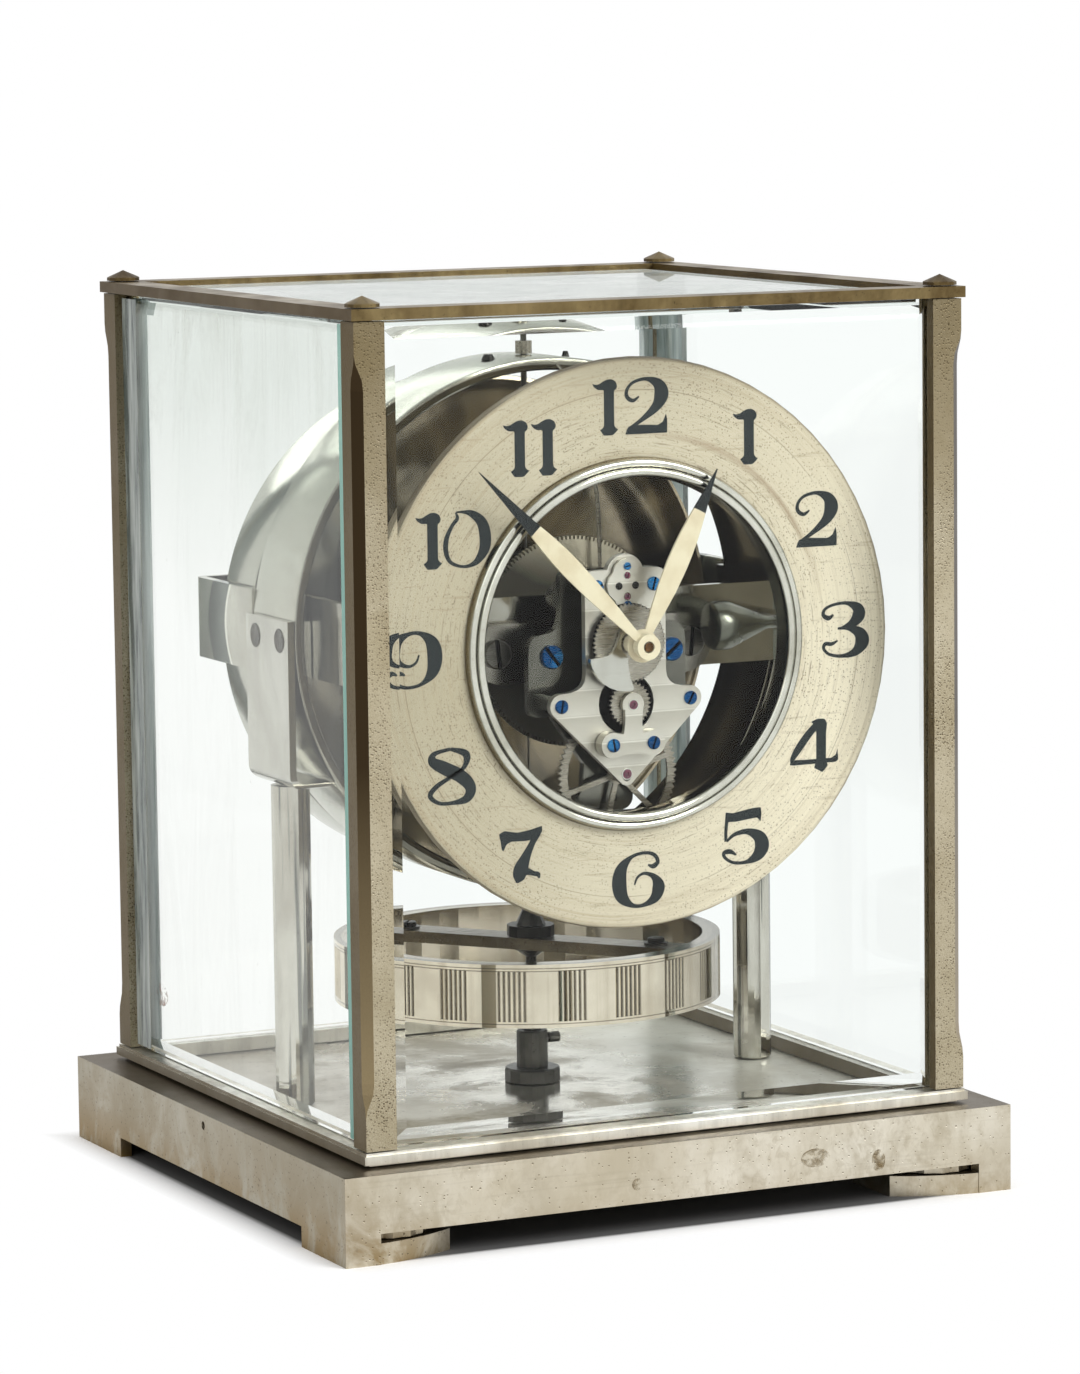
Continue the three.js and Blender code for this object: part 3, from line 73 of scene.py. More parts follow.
def half_width(node, axis=0):
    return (face(node, axis, 1) - face(node, axis, 0)) / 2


DIAL_CENTRE = middle("dial_ring")
DIAL_FRONT = face("dial_ring", 1, 0)
DIAL_RADIUS = half_width("dial_ring")
PLATE_FRONT = face("front_plate", 1, 0)
COCK_FRONT = face("upper_cock", 1, 0)
BRIDGE_FRONT = face("lower_bridge", 1, 0)
BACK_PLATE_FRONT = face("back_plate", 1, 0) + 5.7 * MM  # behind the fronts of its four pillars
BAR_FRONT = face("mounting_bar", 1, 0)
RING_RADIUS = half_width("balance_ring")
RING_LOW, RING_HIGH = face("balance_ring", 2, 0), face("balance_ring", 2, 1)
FRONT, RIGHT, UP = Vector((0, -1, 0)), Vector((1, 0, 0)), Vector((0, 0, 1))


def tint(red, green, blue):
    """A colour written as seen, turned into Blender's linear values."""
    def linear(value):
        value /= 255
        return value / 12.92 if value <= 0.04045 else ((value + 0.055) / 1.055) ** 2.4

    return (linear(red), linear(green), linear(blue), 1)


def spaced(label):
    return label.replace("_", " ")


class Graph:
    """Small helper that adds and joins nodes in one tree."""

    def __init__(self, tree):
        self.tree = tree

    def node(self, kind, links=None, **settings):
        made = self.tree.nodes.new(kind)
        for name, value in settings.items():
            setattr(made, name, value)
        for socket, source in (links or {}).items():
            self.feed(made.inputs[socket], source)
        return made

    def feed(self, socket, source):
        if isinstance(source, bpy.types.NodeSocket):
            self.tree.links.new(source, socket)
        else:
            socket.default_value = source

    def math(self, operation, first, second=0, clamp=False):
        links = {0: first, 1: second}
        return self.node("ShaderNodeMath", links, operation=operation, use_clamp=clamp).outputs[0]

    def times(self, first, second, clamp=False):
        return self.math("MULTIPLY", first, second, clamp)

    def plus(self, first, second, clamp=False):
        return self.math("ADD", first, second, clamp)

    def minus(self, first, second, clamp=False):
        return self.math("SUBTRACT", first, second, clamp)

    def most(self, first, second):
        return self.math("MAXIMUM", first, second)

    def gap(self, value, other=None):
        """How far a value is from another, or from zero."""
        return self.math("ABSOLUTE", value if other is None else self.minus(value, other))

    def split(self, vector):
        return self.node("ShaderNodeSeparateXYZ", {0: vector}).outputs

    def join(self, x, y=0, z=0):
        return self.node("ShaderNodeCombineXYZ", {0: x, 1: y, 2: z}).outputs[0]

    def blend(self, share, first, second):
        """Mix of two colours. Three numbers stand for a colour as seen."""
        made = self.node("ShaderNodeMix", {0: share}, data_type="RGBA")
        for index, value in ((6, first), (7, second)):
            as_seen = isinstance(value, tuple) and len(value) == 3
            self.feed(made.inputs[index], tint(*value) if as_seen else value)
        return made.outputs[2]

    def span(self, value, low, high, to_low=0, to_high=1):
        """Value moved from one range to another and held inside it."""
        return self.node("ShaderNodeMapRange", {0: value, 1: low, 2: high, 3: to_low, 4: to_high}).outputs[0]

    def noise(self, vector, scale, detail=3, roughness=0.55, distortion=0):
        links = {"Vector": vector, "Scale": scale, "Detail": detail, "Roughness": roughness}
        return self.node("ShaderNodeTexNoise", {**links, "Distortion": distortion}).outputs["Fac"]

    def straight_rays(self):
        """1 for rays that see a surface directly, through glass or in a polished face."""
        path = self.node("ShaderNodeLightPath").outputs
        return self.most(self.most(path["Is Camera Ray"], path["Is Glossy Ray"]), path["Is Transmission Ray"])


# Shared effects


def new_group(name, outputs, **inputs):
    """An empty node group with number outputs and these inputs' defaults, where None makes a vector."""
    group = bpy.data.node_groups.new(name, "ShaderNodeTree")
    for label, value in inputs.items():
        kind = "NodeSocketVector" if value is None else "NodeSocketFloat"
        socket = group.interface.new_socket(spaced(label), in_out="INPUT", socket_type=kind)
        if value is not None:
            socket.default_value = value
    for label in outputs:
        group.interface.new_socket(label, in_out="OUTPUT", socket_type="NodeSocketFloat")
    inside = Graph(group)
    return inside, inside.node("NodeGroupInput").outputs, inside.node("NodeGroupOutput").inputs


def build_pits():
    """Round dots of about one size: Dots is 1 inside a dot, and Share says how many cells hold one."""
    g, ins, outs = new_group("pits", ["Dots"], Vector=None, Scale=1200, Size=0.25, Share=0.5)
    cells = g.node("ShaderNodeTexVoronoi", {"Vector": ins["Vector"], "Scale": ins["Scale"]}).outputs
    dot = g.span(cells["Distance"], ins["Size"], g.times(ins["Size"], 0.6))
    present = g.math("LESS_THAN", g.split(cells["Color"])[0], ins["Share"])
    g.feed(outs["Dots"], g.times(dot, present))
    return g.tree


def build_tarnish():
    """Cloudy patches and small spots: Clouds runs 0 to 1, Spots is 1 inside a spot."""
    inputs = {"Vector": None, "Cloud_Size": 20, "Spot_Size": 900, "Spot_Cover": 0.3}
    g, ins, outs = new_group("tarnish", ["Clouds", "Spots"], **inputs)
    broad = g.noise(ins["Vector"], ins["Cloud Size"], 6, 0.62, 0.4)
    g.feed(outs["Clouds"], g.span(broad, 0.36, 0.66))
    fine = g.noise(ins["Vector"], ins["Spot Size"], 2, 0.5)
    limit = g.span(ins["Spot Cover"], 0, 1, 0.78, 0.45)
    g.feed(outs["Spots"], g.span(g.minus(fine, limit), 0, 0.05))
    return g.tree


def build_scratches():
    """Fine scratches that run along X of the vector: Lines is 0 to 1."""
    g, ins, outs = new_group("scratches", ["Lines"], Vector=None, Length=30, Fineness=1500)
    x, y, z = g.split(ins["Vector"])
    vector = g.join(g.times(x, ins["Length"]), g.times(y, ins["Fineness"]), g.times(z, ins["Fineness"]))
    g.feed(outs["Lines"], g.noise(vector, 1, 2, 0.6))
    return g.tree


def build_about_axis():
    """Radius in metres and angle in turns about an axis along Y, from object coordinates."""
    g, ins, outs = new_group("about_axis", ["Radius", "Turn"], Vector=None, Centre_X=0, Centre_Z=0)
    x, _, z = g.split(ins["Vector"])
    x, z = g.minus(x, ins["Centre X"]), g.minus(z, ins["Centre Z"])
    g.feed(outs["Radius"], g.math("SQRT", g.plus(g.times(x, x), g.times(z, z))))
    g.feed(outs["Turn"], g.math("DIVIDE", g.math("ARCTAN2", z, x), 2 * pi))
    return g.tree


PITS, TARNISH, SCRATCHES, ABOUT_AXIS = build_pits(), build_tarnish(), build_scratches(), build_about_axis()


class Finish(Graph):
    """One material: its Principled shader, object coordinates, the colour so far and the shared effects."""

    def __init__(self, name, colour=None, rough=0.5, metal=1, **constants):
        self.material = bpy.data.materials.new(name)
        self.material.use_nodes = True
        super().__init__(self.material.node_tree)
        self.tree.nodes.clear()
        self.shader = self.node("ShaderNodeBsdfPrincipled")
        self.output = self.node("ShaderNodeOutputMaterial", {"Surface": self.shader.outputs[0]})
        self.place = self.node("ShaderNodeTexCoord").outputs["Object"]
        self.set(Roughness=rough, Metallic=metal, **constants)
        if colour is not None:
            self.set(Base_Color=colour)

    def set(self, **sources):
        for label, source in sources.items():
            self.feed(self.shader.inputs[spaced(label)], source)

    def use(self, group, **values):
        made = self.node("ShaderNodeGroup", node_tree=group)
        self.feed(made.inputs["Vector"], values.pop("vector", self.place))
        for label, value in values.items():
            self.feed(made.inputs[spaced(label)], value)
        return made.outputs

    def about(self, centre):
        return self.use(ABOUT_AXIS, Centre_X=centre.x, Centre_Z=centre.z)

    def pits(self, scale, size, share):
        return self.use(PITS, Scale=scale, Size=size, Share=share)["Dots"]

    def lines(self, length, fineness, **vector):
        return self.use(SCRATCHES, Length=length, Fineness=fineness, **vector)["Lines"]

    def normal(self):
        return self.split(self.node("ShaderNodeTexCoord").outputs["Normal"])

    def stretched(self, x, y, z):
        return self.node("ShaderNodeMapping", {"Vector": self.place, "Scale": (x, y, z)}).outputs[0]

    def bump(self, height, depth, under=None):
        links = {"Height": height, "Strength": 1, "Distance": depth}
        if under is not None:
            links["Normal"] = under
        normal = self.node("ShaderNodeBump", links).outputs[0]
        self.set(Normal=normal)
        return normal

    def start(self, share, first, second):
        self.colour = self.blend(share, first, second)

    def coat(self, share, colour, strength=1):
        """Lays a colour over the one so far."""
        self.colour = self.blend(share if strength == 1 else self.times(share, strength), self.colour, colour)

    def dull(self, share):
        """Turns bare metal into dull patina."""
        self.set(Metallic=self.span(share, 0, 1, 1, 0.15))
        self.set(Specular_IOR_Level=self.span(share, 0, 1, 0.5, 0.12))

    def done(self, rough):
        self.set(Base_Color=self.colour, Roughness=rough)
        return self.material


# Materials


def worn_nickel():
    """Plinth: cloudy pale nickel with brown spots and scratches, painted shade on its left faces, and a
    brighter polished top in the case.
    """
    m = Finish("worn_nickel_plate")
    clouds = m.use(TARNISH, Cloud_Size=26, Spot_Size=520, Spot_Cover=0.16)
    broad = m.use(TARNISH, Cloud_Size=9, Spot_Size=150, Spot_Cover=0.1)
    lines = m.lines(25, 900)
    x, y, z = m.split(m.place)
    normal = m.normal()
    faces_up = m.span(normal[2], 0.7, 0.95)
    painted_shade_left = m.span(m.times(normal[0], -1), 0.6, 0.95)
    m.start(clouds["Clouds"], (208, 200, 181), (255, 251, 238))
    mottle = m.noise(m.stretched(1, 1, 0.7), 95, 5, 0.65, 0.5)
    m.coat(m.span(mottle, 0.47, 0.66, 0, 0.62), (150, 138, 112))
    fine = m.noise(m.stretched(1, 1, 0.8), 420, 4, 0.7, 0.6)
    m.coat(m.span(fine, 0.5, 0.66, 0, 0.42), (150, 138, 112))
    pale = m.noise(m.stretched(1, 1, 0.6), 150, 4, 0.65, 0.4)
    m.coat(m.span(pale, 0.55, 0.68, 0, 0.5), (252, 248, 236))
    m.start(m.times(broad["Clouds"], 0.6), (190, 181, 160), m.colour)
    # Painted shade: the faces that look left are darkened.
    m.coat(painted_shade_left, (146, 140, 124), 0.7)
    m.coat(m.span(lines, 0.56, 0.74), (120, 112, 94), 0.14)
    low = m.span(z, 12 * MM, 0, 0, 0.6)
    corner = m.span(m.plus(x, m.times(z, 1.3)), -55 * MM, -88 * MM)
    stained = m.times(m.plus(low, m.times(corner, 0.7)), m.span(mottle, 0.36, 0.56))
    m.coat(m.times(stained, 0.8, clamp=True), (138, 116, 76))
    pits = m.pits(420, 0.14, 0.3)
    fine_pits = m.pits(1100, 0.26, 0.2)
    spots = m.most(m.most(pits, fine_pits), m.times(broad["Spots"], 0.7))
    m.coat(spots, (96, 84, 62), 0.65)
    case_x, case_y = (face("case_bottom_frame", axis, 1) for axis in (0, 1))
    inside_x = m.span(m.gap(x), case_x - 4 * MM, case_x - 9 * MM)
    inside_y = m.span(m.gap(y), case_y - 4 * MM, case_y - 9 * MM)
    inside = m.times(faces_up, m.times(inside_x, inside_y))
    outside_top = m.minus(faces_up, inside, clamp=True)
    m.coat(outside_top, (80, 68, 49), 0.9)
    dusty = m.noise(m.place, 60, 5, 0.6)
    clean = m.blend(m.span(dusty, 0.35, 0.7), (222, 218, 208), (186, 179, 165))
    sides = m.span(m.gap(x), 12 * MM, 50 * MM, 0, 0.6)
    clean = m.blend(sides, clean, m.blend(m.span(x, -20 * MM, 20 * MM), (186, 179, 164), (206, 206, 196)))
    grime = m.span(m.noise(m.place, 30, 6, 0.7, 0.4), 0.47, 0.62, 0, 0.75)
    grime = m.times(grime, m.span(x, 45 * MM, -30 * MM, 0.55, 1.3), clamp=True)
    clean = m.blend(grime, clean, (150, 140, 120))
    specks = m.times(m.pits(520, 0.2, 0.3), 0.8)
    clean = m.blend(specks, clean, (90, 84, 74))
    m.coat(inside, clean)
    dull = m.span(clouds["Clouds"], 0, 1, 0.5, 0.36)
    polished = m.span(dusty, 0.35, 0.7, 0.1, 0.24)
    rough = m.plus(m.times(dull, m.minus(1, inside)), m.times(polished, inside))
    soiled = m.times(m.most(grime, sides), inside)
    rough = m.plus(rough, m.times(soiled, 0.35), clamp=True)
    m.set(Metallic=m.span(soiled, 0, 0.75, 1, 0.3))
    m.bump(spots, -0.06 * MM, m.bump(lines, 0.01 * MM))
    return m.done(rough)


def pitted(name, light, dark, spot, side, cover, rough, size=34):
    """Frame metal with pits, painted shade in the colour of the faces that look to either side, and a dull
    patina there.
    """
    m = Finish(name)
    worn = m.use(TARNISH, Cloud_Size=size, Spot_Size=2100, Spot_Cover=cover)
    m.start(worn["Clouds"], dark, light)
    along = m.noise(m.stretched(1, 1, 0.12), 260, 3, 0.6)
    m.coat(m.span(along, 0.45, 0.75, 0, 0.35), spot)
    shaded_sides = m.span(m.gap(m.normal()[0]), 0.75, 0.95)
    # Painted shade: the side faces take the darker side colour.
    m.coat(shaded_sides, side, 0.85)
    m.dull(shaded_sides)
    m.coat(worn["Spots"], spot, 0.85)
    m.bump(worn["Spots"], -0.08 * MM)
    return m.done(m.span(worn["Clouds"], 0, 1, rough + 0.1, rough - 0.06))


def post_pewter():
    """Corner posts: dense fine pits over bare metal, painted brown shade on the left side and smooth chamfers
    with a painted reflection that turns darker towards the top.
    """
    m = Finish("pewter_post")
    worn = m.use(TARNISH, Cloud_Size=30, Spot_Size=2500, Spot_Cover=0.45)
    grain = m.noise(m.place, 4300, 2, 0.6)
    parts = m.split(m.place)
    m.start(worn["Clouds"], (170, 160, 134), (200, 191, 167))
    patches = m.span(m.noise(m.stretched(1, 1, 0.5), 75, 3, 0.6), 0.4, 0.65, 0.3, 0.8)
    m.coat(m.times(m.span(grain, 0.44, 0.62), patches), (128, 113, 84))
    upper = m.span(parts[2], 150 * MM, 222 * MM)
    m.coat(upper, (98, 84, 53), 0.75)
    pits = m.pits(1500, 0.42, 0.7)
    dents = m.times(m.most(worn["Spots"], pits), m.span(patches, 0.3, 0.8, 0.35, 0.85))
    m.coat(dents, (70, 59, 40))
    normal = m.normal()
    shaded_sides = m.span(m.times(normal[0], -1), 0.75, 0.95)
    # Painted shade: the faces that look left turn dark brown.
    m.coat(shaded_sides, (86, 72, 46), 0.88)
    m.dull(shaded_sides)
    across = m.gap(m.times(normal[0], normal[1]))
    chamfer = m.span(across, 0.2, 0.4)
    # Painted reflection on the chamfers: light low down, dark towards the top.
    height = m.span(parts[2], 40 * MM, 120 * MM)
    painted_chamfer_reflection = m.blend(height, (150, 134, 102), (62, 50, 34))
    painted_chamfer_reflection = m.blend(m.span(grain, 0.5, 0.7, 0, 0.3), painted_chamfer_reflection, (60, 50, 34))
    m.coat(chamfer, painted_chamfer_reflection)
    rough = m.span(worn["Clouds"], 0, 1, 0.5, 0.38)
    m.bump(m.times(dents, m.minus(1, chamfer)), -0.06 * MM)
    return m.done(m.times(rough, m.span(chamfer, 0, 1, 1, 0.7)))


def polished(name, light, dark, low=0.05, high=0.2, size=40, hairlines=0):
    """Polished metal with faint smears in its gloss and colour."""
    m = Finish(name)
    smears = m.noise(m.stretched(1, 1, 0.5), size, 5, 0.6, 0.6)
    grain = m.lines(40, 1800)
    m.start(m.span(smears, 0.35, 0.7), light, dark)
    if hairlines:
        m.coat(m.span(grain, 0.55, 0.8, 0, hairlines), dark)
    rough = m.span(smears, 0.3, 0.7, low, high)
    m.bump(grain, 0.002 * MM)
    return m.done(rough)


BAND_PITCH = 6.6 * MM
SCRIBED_RING, SMUDGE_RING, BEZEL_EDGE = 63.4 * MM, 51.6 * MM, 48 * MM  # radii on the dial


def banded_plate():
    """Matt nickel movement plate with the faint level bands left by its finishing."""
    m = Finish("matt_nickel_plate")
    parts = m.split(m.place)
    phase = m.math("FRACT", m.times(parts[2], 1 / BAND_PITCH))
    step = m.span(phase, 0, 0.9)
    grain = m.lines(80, 2600)
    cloud = m.noise(m.place, 90, 4)
    edge_line = m.span(m.gap(phase, 0.95), 0.045, 0.015)
    m.start(step, (200, 197, 186), (178, 174, 162))
    m.coat(edge_line, (228, 226, 216), 0.6)
    m.coat(m.span(cloud, 0.4, 0.75, 0, 0.4), (168, 163, 150))
    m.bump(grain, 0.002 * MM)
    return m.done(m.span(grain, 0.3, 0.7, 0.3, 0.42))


def dial_silver():
    """Silvered dial gone champagne: dense speckles, fine scratches that follow its turning, one long
    scribed ring, a brown smudge above the bezel and a dirty rim."""
    m = Finish("dial_silver", metal=0.22)
    about = m.about(DIAL_CENTRE)
    radius, turn = about["Radius"], about["Turn"]

    def round_noise(along, across, detail=3, distortion=0.3, seed=0):
        lengthwise, crosswise = m.times(turn, along), m.times(radius, across)
        vector = m.join(lengthwise, crosswise, seed)
        return m.noise(vector, 1, detail, 0.62, distortion)

    turned_lines = round_noise(9, 5200)
    wear = round_noise(5, 700, 4, 1.2, 3)
    short_lines = round_noise(46, 2300, 2, 0.6, 7)
    straight = m.lines(70, 900, vector=m.stretched(1, 0.1, 1))
    rough_patch = m.noise(m.place, 32, 4, 0.6)
    shade = m.noise(m.place, 14, 3, 0.5)
    dirt, brown = (112, 98, 74), (138, 120, 92)
    parts = m.split(m.place)
    m.start(m.span(shade, 0.35, 0.65), (187, 178, 155), (171, 161, 136))
    # Painted light: the dial brightens towards the right.
    painted_light_to_right = m.span(m.plus(parts[0], m.times(parts[2], -0.4)), -70 * MM, 20 * MM)
    m.coat(painted_light_to_right, (232, 222, 198), 0.85)
    m.coat(m.span(wear, 0.52, 0.74, 0, 0.45), (170, 155, 126))
    m.coat(m.span(turned_lines, 0.55, 0.75, 0, 0.35), brown)
    near_bezel = m.span(radius, DIAL_RADIUS - 9 * MM, BEZEL_EDGE)
    worked = m.plus(m.span(rough_patch, 0.5, 0.66), near_bezel, clamp=True)
    marks = m.times(m.span(short_lines, 0.6, 0.66), worked)
    m.coat(marks, dirt, 0.6)
    m.coat(m.span(straight, 0.63, 0.72, 0, 0.3), brown)
    small = m.pits(1500, 0.32, 0.6)
    larger = m.pits(900, 0.22, 0.35)
    speckle = m.times(m.most(small, larger), m.span(rough_patch, 0.36, 0.6, 0.35, 0.85))
    m.coat(speckle, dirt)
    scribed = m.gap(radius, SCRIBED_RING)
    line = m.times(m.span(scribed, 0.16 * MM, 0.04 * MM), m.span(wear, 0.36, 0.5))
    m.coat(line, dirt, 0.6)
    smudge_line = m.plus(SMUDGE_RING, m.times(shade, 2.4 * MM))
    smudge = m.span(m.gap(radius, smudge_line), 1.3 * MM, 0.1 * MM)
    upper_right = m.span(m.gap(turn, 0.14), 0.12, 0.05)
    smudge = m.times(m.times(smudge, upper_right), m.span(wear, 0.3, 0.6, 0.4, 0.8))
    m.coat(smudge, (150, 130, 104))
    browned = m.span(radius, DIAL_RADIUS - 9 * MM, DIAL_RADIUS - 1 * MM, 0, 0.4)
    m.coat(m.times(browned, m.span(wear, 0.35, 0.6)), (158, 140, 110))
    rim = m.span(radius, DIAL_RADIUS - 1.2 * MM, DIAL_RADIUS - 0.3 * MM)
    m.coat(m.times(rim, m.span(wear, 0.4, 0.55, 0.35, 0.9)), (96, 84, 62))
    m.bump(speckle, -0.02 * MM, m.bump(turned_lines, 0.006 * MM))
    return m.done(m.span(turned_lines, 0.3, 0.7, 0.5, 0.62))


def hand_finish(name, boundary):
    """Cream fill up to the boundary, near-black beyond it, with the grain of old paint."""
    m = Finish(name, metal=0, Specular_IOR_Level=0.15)
    radius = m.about(DIAL_CENTRE)["Radius"]
    grain = m.noise(m.place, 2600, 3, 0.6)
    patch = m.noise(m.place, 180, 3)
    cream = m.blend(m.span(patch, 0.4, 0.65), (216, 206, 178), (205, 192, 162))
    cream = m.blend(m.span(grain, 0.52, 0.8, 0, 0.35), cream, (196, 180, 146))
    near = m.span(m.minus(radius, boundary), -0.08 * MM, 0.08 * MM)
    dark = m.blend(m.span(grain, 0.4, 0.8), (28, 32, 33), (46, 50, 50))
    m.set(Base_Color=m.blend(near, cream, dark), Roughness=m.span(near, 0, 1, 0.62, 0.55))
    m.bump(grain, 0.012 * MM)
    return m.material


def balance_nickel():
    """Warm polished nickel: the flutes' bottoms are darker, two joints cross the band, and painted shade
    darkens its right side.
    """
    m = Finish("balance_nickel")
    x, y, z = m.split(m.place)
    radius = m.math("SQRT", m.plus(m.times(x, x), m.times(y, y)))
    smears = m.noise(m.place, 45, 4, 0.6)
    m.start(m.span(smears, 0.35, 0.7), (226, 217, 198), (200, 190, 170))
    groove = m.span(radius, RING_RADIUS - 0.08 * MM, RING_RADIUS - 0.32 * MM)
    outer = m.math("GREATER_THAN", radius, RING_RADIUS - 2 * MM)
    m.coat(m.times(groove, m.times(outer, 0.9)), (84, 76, 60))
    normal = m.normal()
    inner = m.minus(1, outer)
    m.coat(inner, (120, 108, 88), 0.35)
    top = m.span(normal[2], 0.8, 0.95)
    m.coat(top, (150, 145, 132), 0.55)
    bearing = m.math("ARCTAN2", y, x)
    streaks = m.noise(m.join(m.times(bearing, 7)), 1, 4, 0.65)
    m.coat(m.span(streaks, 0.52, 0.7, 0, 0.35), (140, 124, 96))
    for level in (RING_HIGH - 1 * MM, RING_HIGH - 1.7 * MM, RING_LOW + 1 * MM):
        line = m.span(m.gap(z, level), 0.2 * MM, 0.06 * MM)
        m.coat(m.times(line, outer), (96, 84, 62), 0.7)
    # Painted shade: the ring darkens towards its right side.
    m.coat(m.span(x, 8 * MM, 40 * MM), (88, 83, 70), 0.68)
    return m.done(m.span(smears, 0.3, 0.7, 0.07, 0.17))


def plate_glass(name, tint_colour, bend, shade_top=None):
    """Old plate glass that lets light through freely. Bend is its index of refraction, and shade_top is
    the colour that it takes on towards its dusty upper end."""
    m = Finish(name, metal=0, IOR=bend, Transmission_Weight=1)
    m.colour = tint_colour
    film = m.noise(m.stretched(1, 1, 0.35), 26, 5, 0.62)
    if shade_top is not None:
        parts = m.split(m.place)
        height = m.plus(parts[2], m.times(film, 50 * MM))
        m.start(m.span(height, 170 * MM, 235 * MM), tint_colour, shade_top)
    m.set(Base_Color=m.colour, Roughness=m.span(film, 0.5, 0.8, 0, 0.02))
    path = m.node("ShaderNodeLightPath")
    open_to = m.most(path.outputs["Is Shadow Ray"], path.outputs["Is Diffuse Ray"])
    clear = m.node("ShaderNodeBsdfTransparent", {"Color": (0.975, 0.985, 0.98, 1)})
    lit = m.node("ShaderNodeMixShader", {0: open_to, 1: m.shader.outputs[0], 2: clear.outputs[0]})
    m.feed(m.output.inputs["Surface"], lit.outputs[0])
    return m.material


def glass_edge(name, light, dark, streak_scale, cover):
    """Ground bevel of a pane seen nearly edge on: a veil of colour with streaks along the edge, painted for
    the glass's green and the dark that refraction shows there.
    """
    m = Finish(name, rough=0.25, metal=0)
    streaks = m.noise(m.stretched(1, 1, 0.1), streak_scale, 4, 0.6)
    m.set(Base_Color=m.blend(m.span(streaks, 0.38, 0.62), dark, light))
    m.set(Alpha=m.span(streaks, 0.3, 0.7, cover + 0.1, cover - 0.1))
    return m.material


def dust(name, colour, cover):
    """A thin veil of dust with smears and specks."""
    m = Finish(name, colour, 0.9, 0)
    smears = m.noise(m.stretched(1, 1, 0.6), 24, 5, 0.65, 0.5)
    specks = m.noise(m.place, 900, 2, 0.5)
    veil = m.span(smears, 0.35, 0.7, cover * 0.4, cover)
    m.set(Alpha=m.most(veil, m.span(specks, 0.74, 0.76, 0, 0.5)))
    return m.material


def pane_film():
    """Faint upright smears on the left pane, thicker along its top edge."""
    m = Finish("pane_film", tint(206, 210, 200), 0.9, 0)
    parts = m.split(m.place)
    streaks = m.noise(m.stretched(1, 1, 0.22), 48, 5, 0.68, 0.8)
    ragged = m.plus(parts[2], m.times(streaks, 30 * MM))
    top = m.span(ragged, 200 * MM, 240 * MM)
    specks = m.noise(m.place, 1100, 2, 0.5)
    veil = m.times(m.span(streaks, 0.45, 0.72), m.span(top, 0, 1, 0.09, 0.5))
    m.set(Alpha=m.most(veil, m.span(specks, 0.76, 0.78, 0, 0.5)))
    return m.material


def blued_steel():
    m = Finish("blued_steel")
    shift = m.noise(m.place, 700, 2)
    lines = m.lines(200, 5000)
    split = m.noise(m.stretched(1, 0, 1), 150, 0)
    m.start(m.span(split, 0.47, 0.5), (52, 122, 172), (24, 66, 108))
    m.coat(m.span(shift, 0.35, 0.65, 0, 0.5), (30, 84, 140))
    return m.done(m.span(lines, 0.3, 0.7, 0.2, 0.34))


def ruby():
    m = Finish("ruby", rough=0.12, metal=0, Coat_Weight=0.6)
    depth = m.noise(m.place, 1500, 2)
    m.set(Base_Color=m.blend(m.span(depth, 0.4, 0.6), (104, 40, 62), (66, 20, 40)))
    return m.material


def dark_metal(name, light, dark, rough=0.35, size=160):
    m = Finish(name)
    patch = m.use(TARNISH, Cloud_Size=size, Spot_Size=1800, Spot_Cover=0.2)
    lines = m.lines(120, 3000)
    m.start(patch["Clouds"], dark, light)
    m.coat(patch["Spots"], (30, 28, 26), 0.4)
    m.bump(lines, 0.0004 * MM)
    return m.done(m.span(lines, 0.3, 0.7, rough - 0.05, rough + 0.06))


def ratchet_steel():
    """Winding wheel with painted light: beige and bright towards its top, dark grey below."""
    m = Finish("ratchet_steel")
    parts = m.split(m.place)
    centre = middle("ratchet_wheel")
    patch = m.noise(m.place, 120, 4, 0.6)
    over = m.minus(parts[2], centre.z)
    across = m.minus(parts[0], centre.x)
    lit = m.plus(over, m.times(across, 0.5))
    lit = m.span(m.plus(lit, m.times(patch, 8 * MM)), 14 * MM, 22 * MM)
    m.start(lit, (98, 95, 84), (190, 182, 160))
    m.coat(m.span(patch, 0.4, 0.7, 0, 0.4), (84, 80, 70))
    m.bump(patch, 0.01 * MM)
    return m.done(m.span(patch, 0.3, 0.7, 0.3, 0.4))


def numeral_ink():
    m = Finish("numeral_ink", rough=0.6, metal=0, Specular_IOR_Level=0.2)
    worn = m.noise(m.place, 1400, 4, 0.7)
    m.start(m.span(worn, 0.45, 0.75), (28, 34, 35), (48, 53, 53))
    m.set(Base_Color=m.colour)
    m.bump(worn, 0.01 * MM)
    return m.material


def drum_nickel():
    """Drum: bright rim, and a face that turned dark and brown between spun rings, with painted shade towards
    its left.
    """
    m = Finish("drum_nickel")
    about = m.about(middle("drum_shell"))
    wedges = m.join(m.times(about["Turn"], 14), m.times(about["Radius"], 12))
    streak = m.noise(wedges, 1, 3, 0.6)
    normal = m.normal()
    faces_front = m.span(m.times(normal[1], -1), 0.6, 0.95)
    brown = m.blend(m.span(streak, 0.4, 0.66), (98, 92, 80), (178, 165, 140))
    # Painted shade: the face darkens towards the left.
    left = m.span(m.split(m.place)[0], -10 * MM, -30 * MM, 0, 0.6)
    brown = m.blend(left, brown, (76, 80, 72))
    m.start(faces_front, (190, 190, 180), brown)
    return m.done(m.span(streak, 0.3, 0.7, 0.08, 0.2))


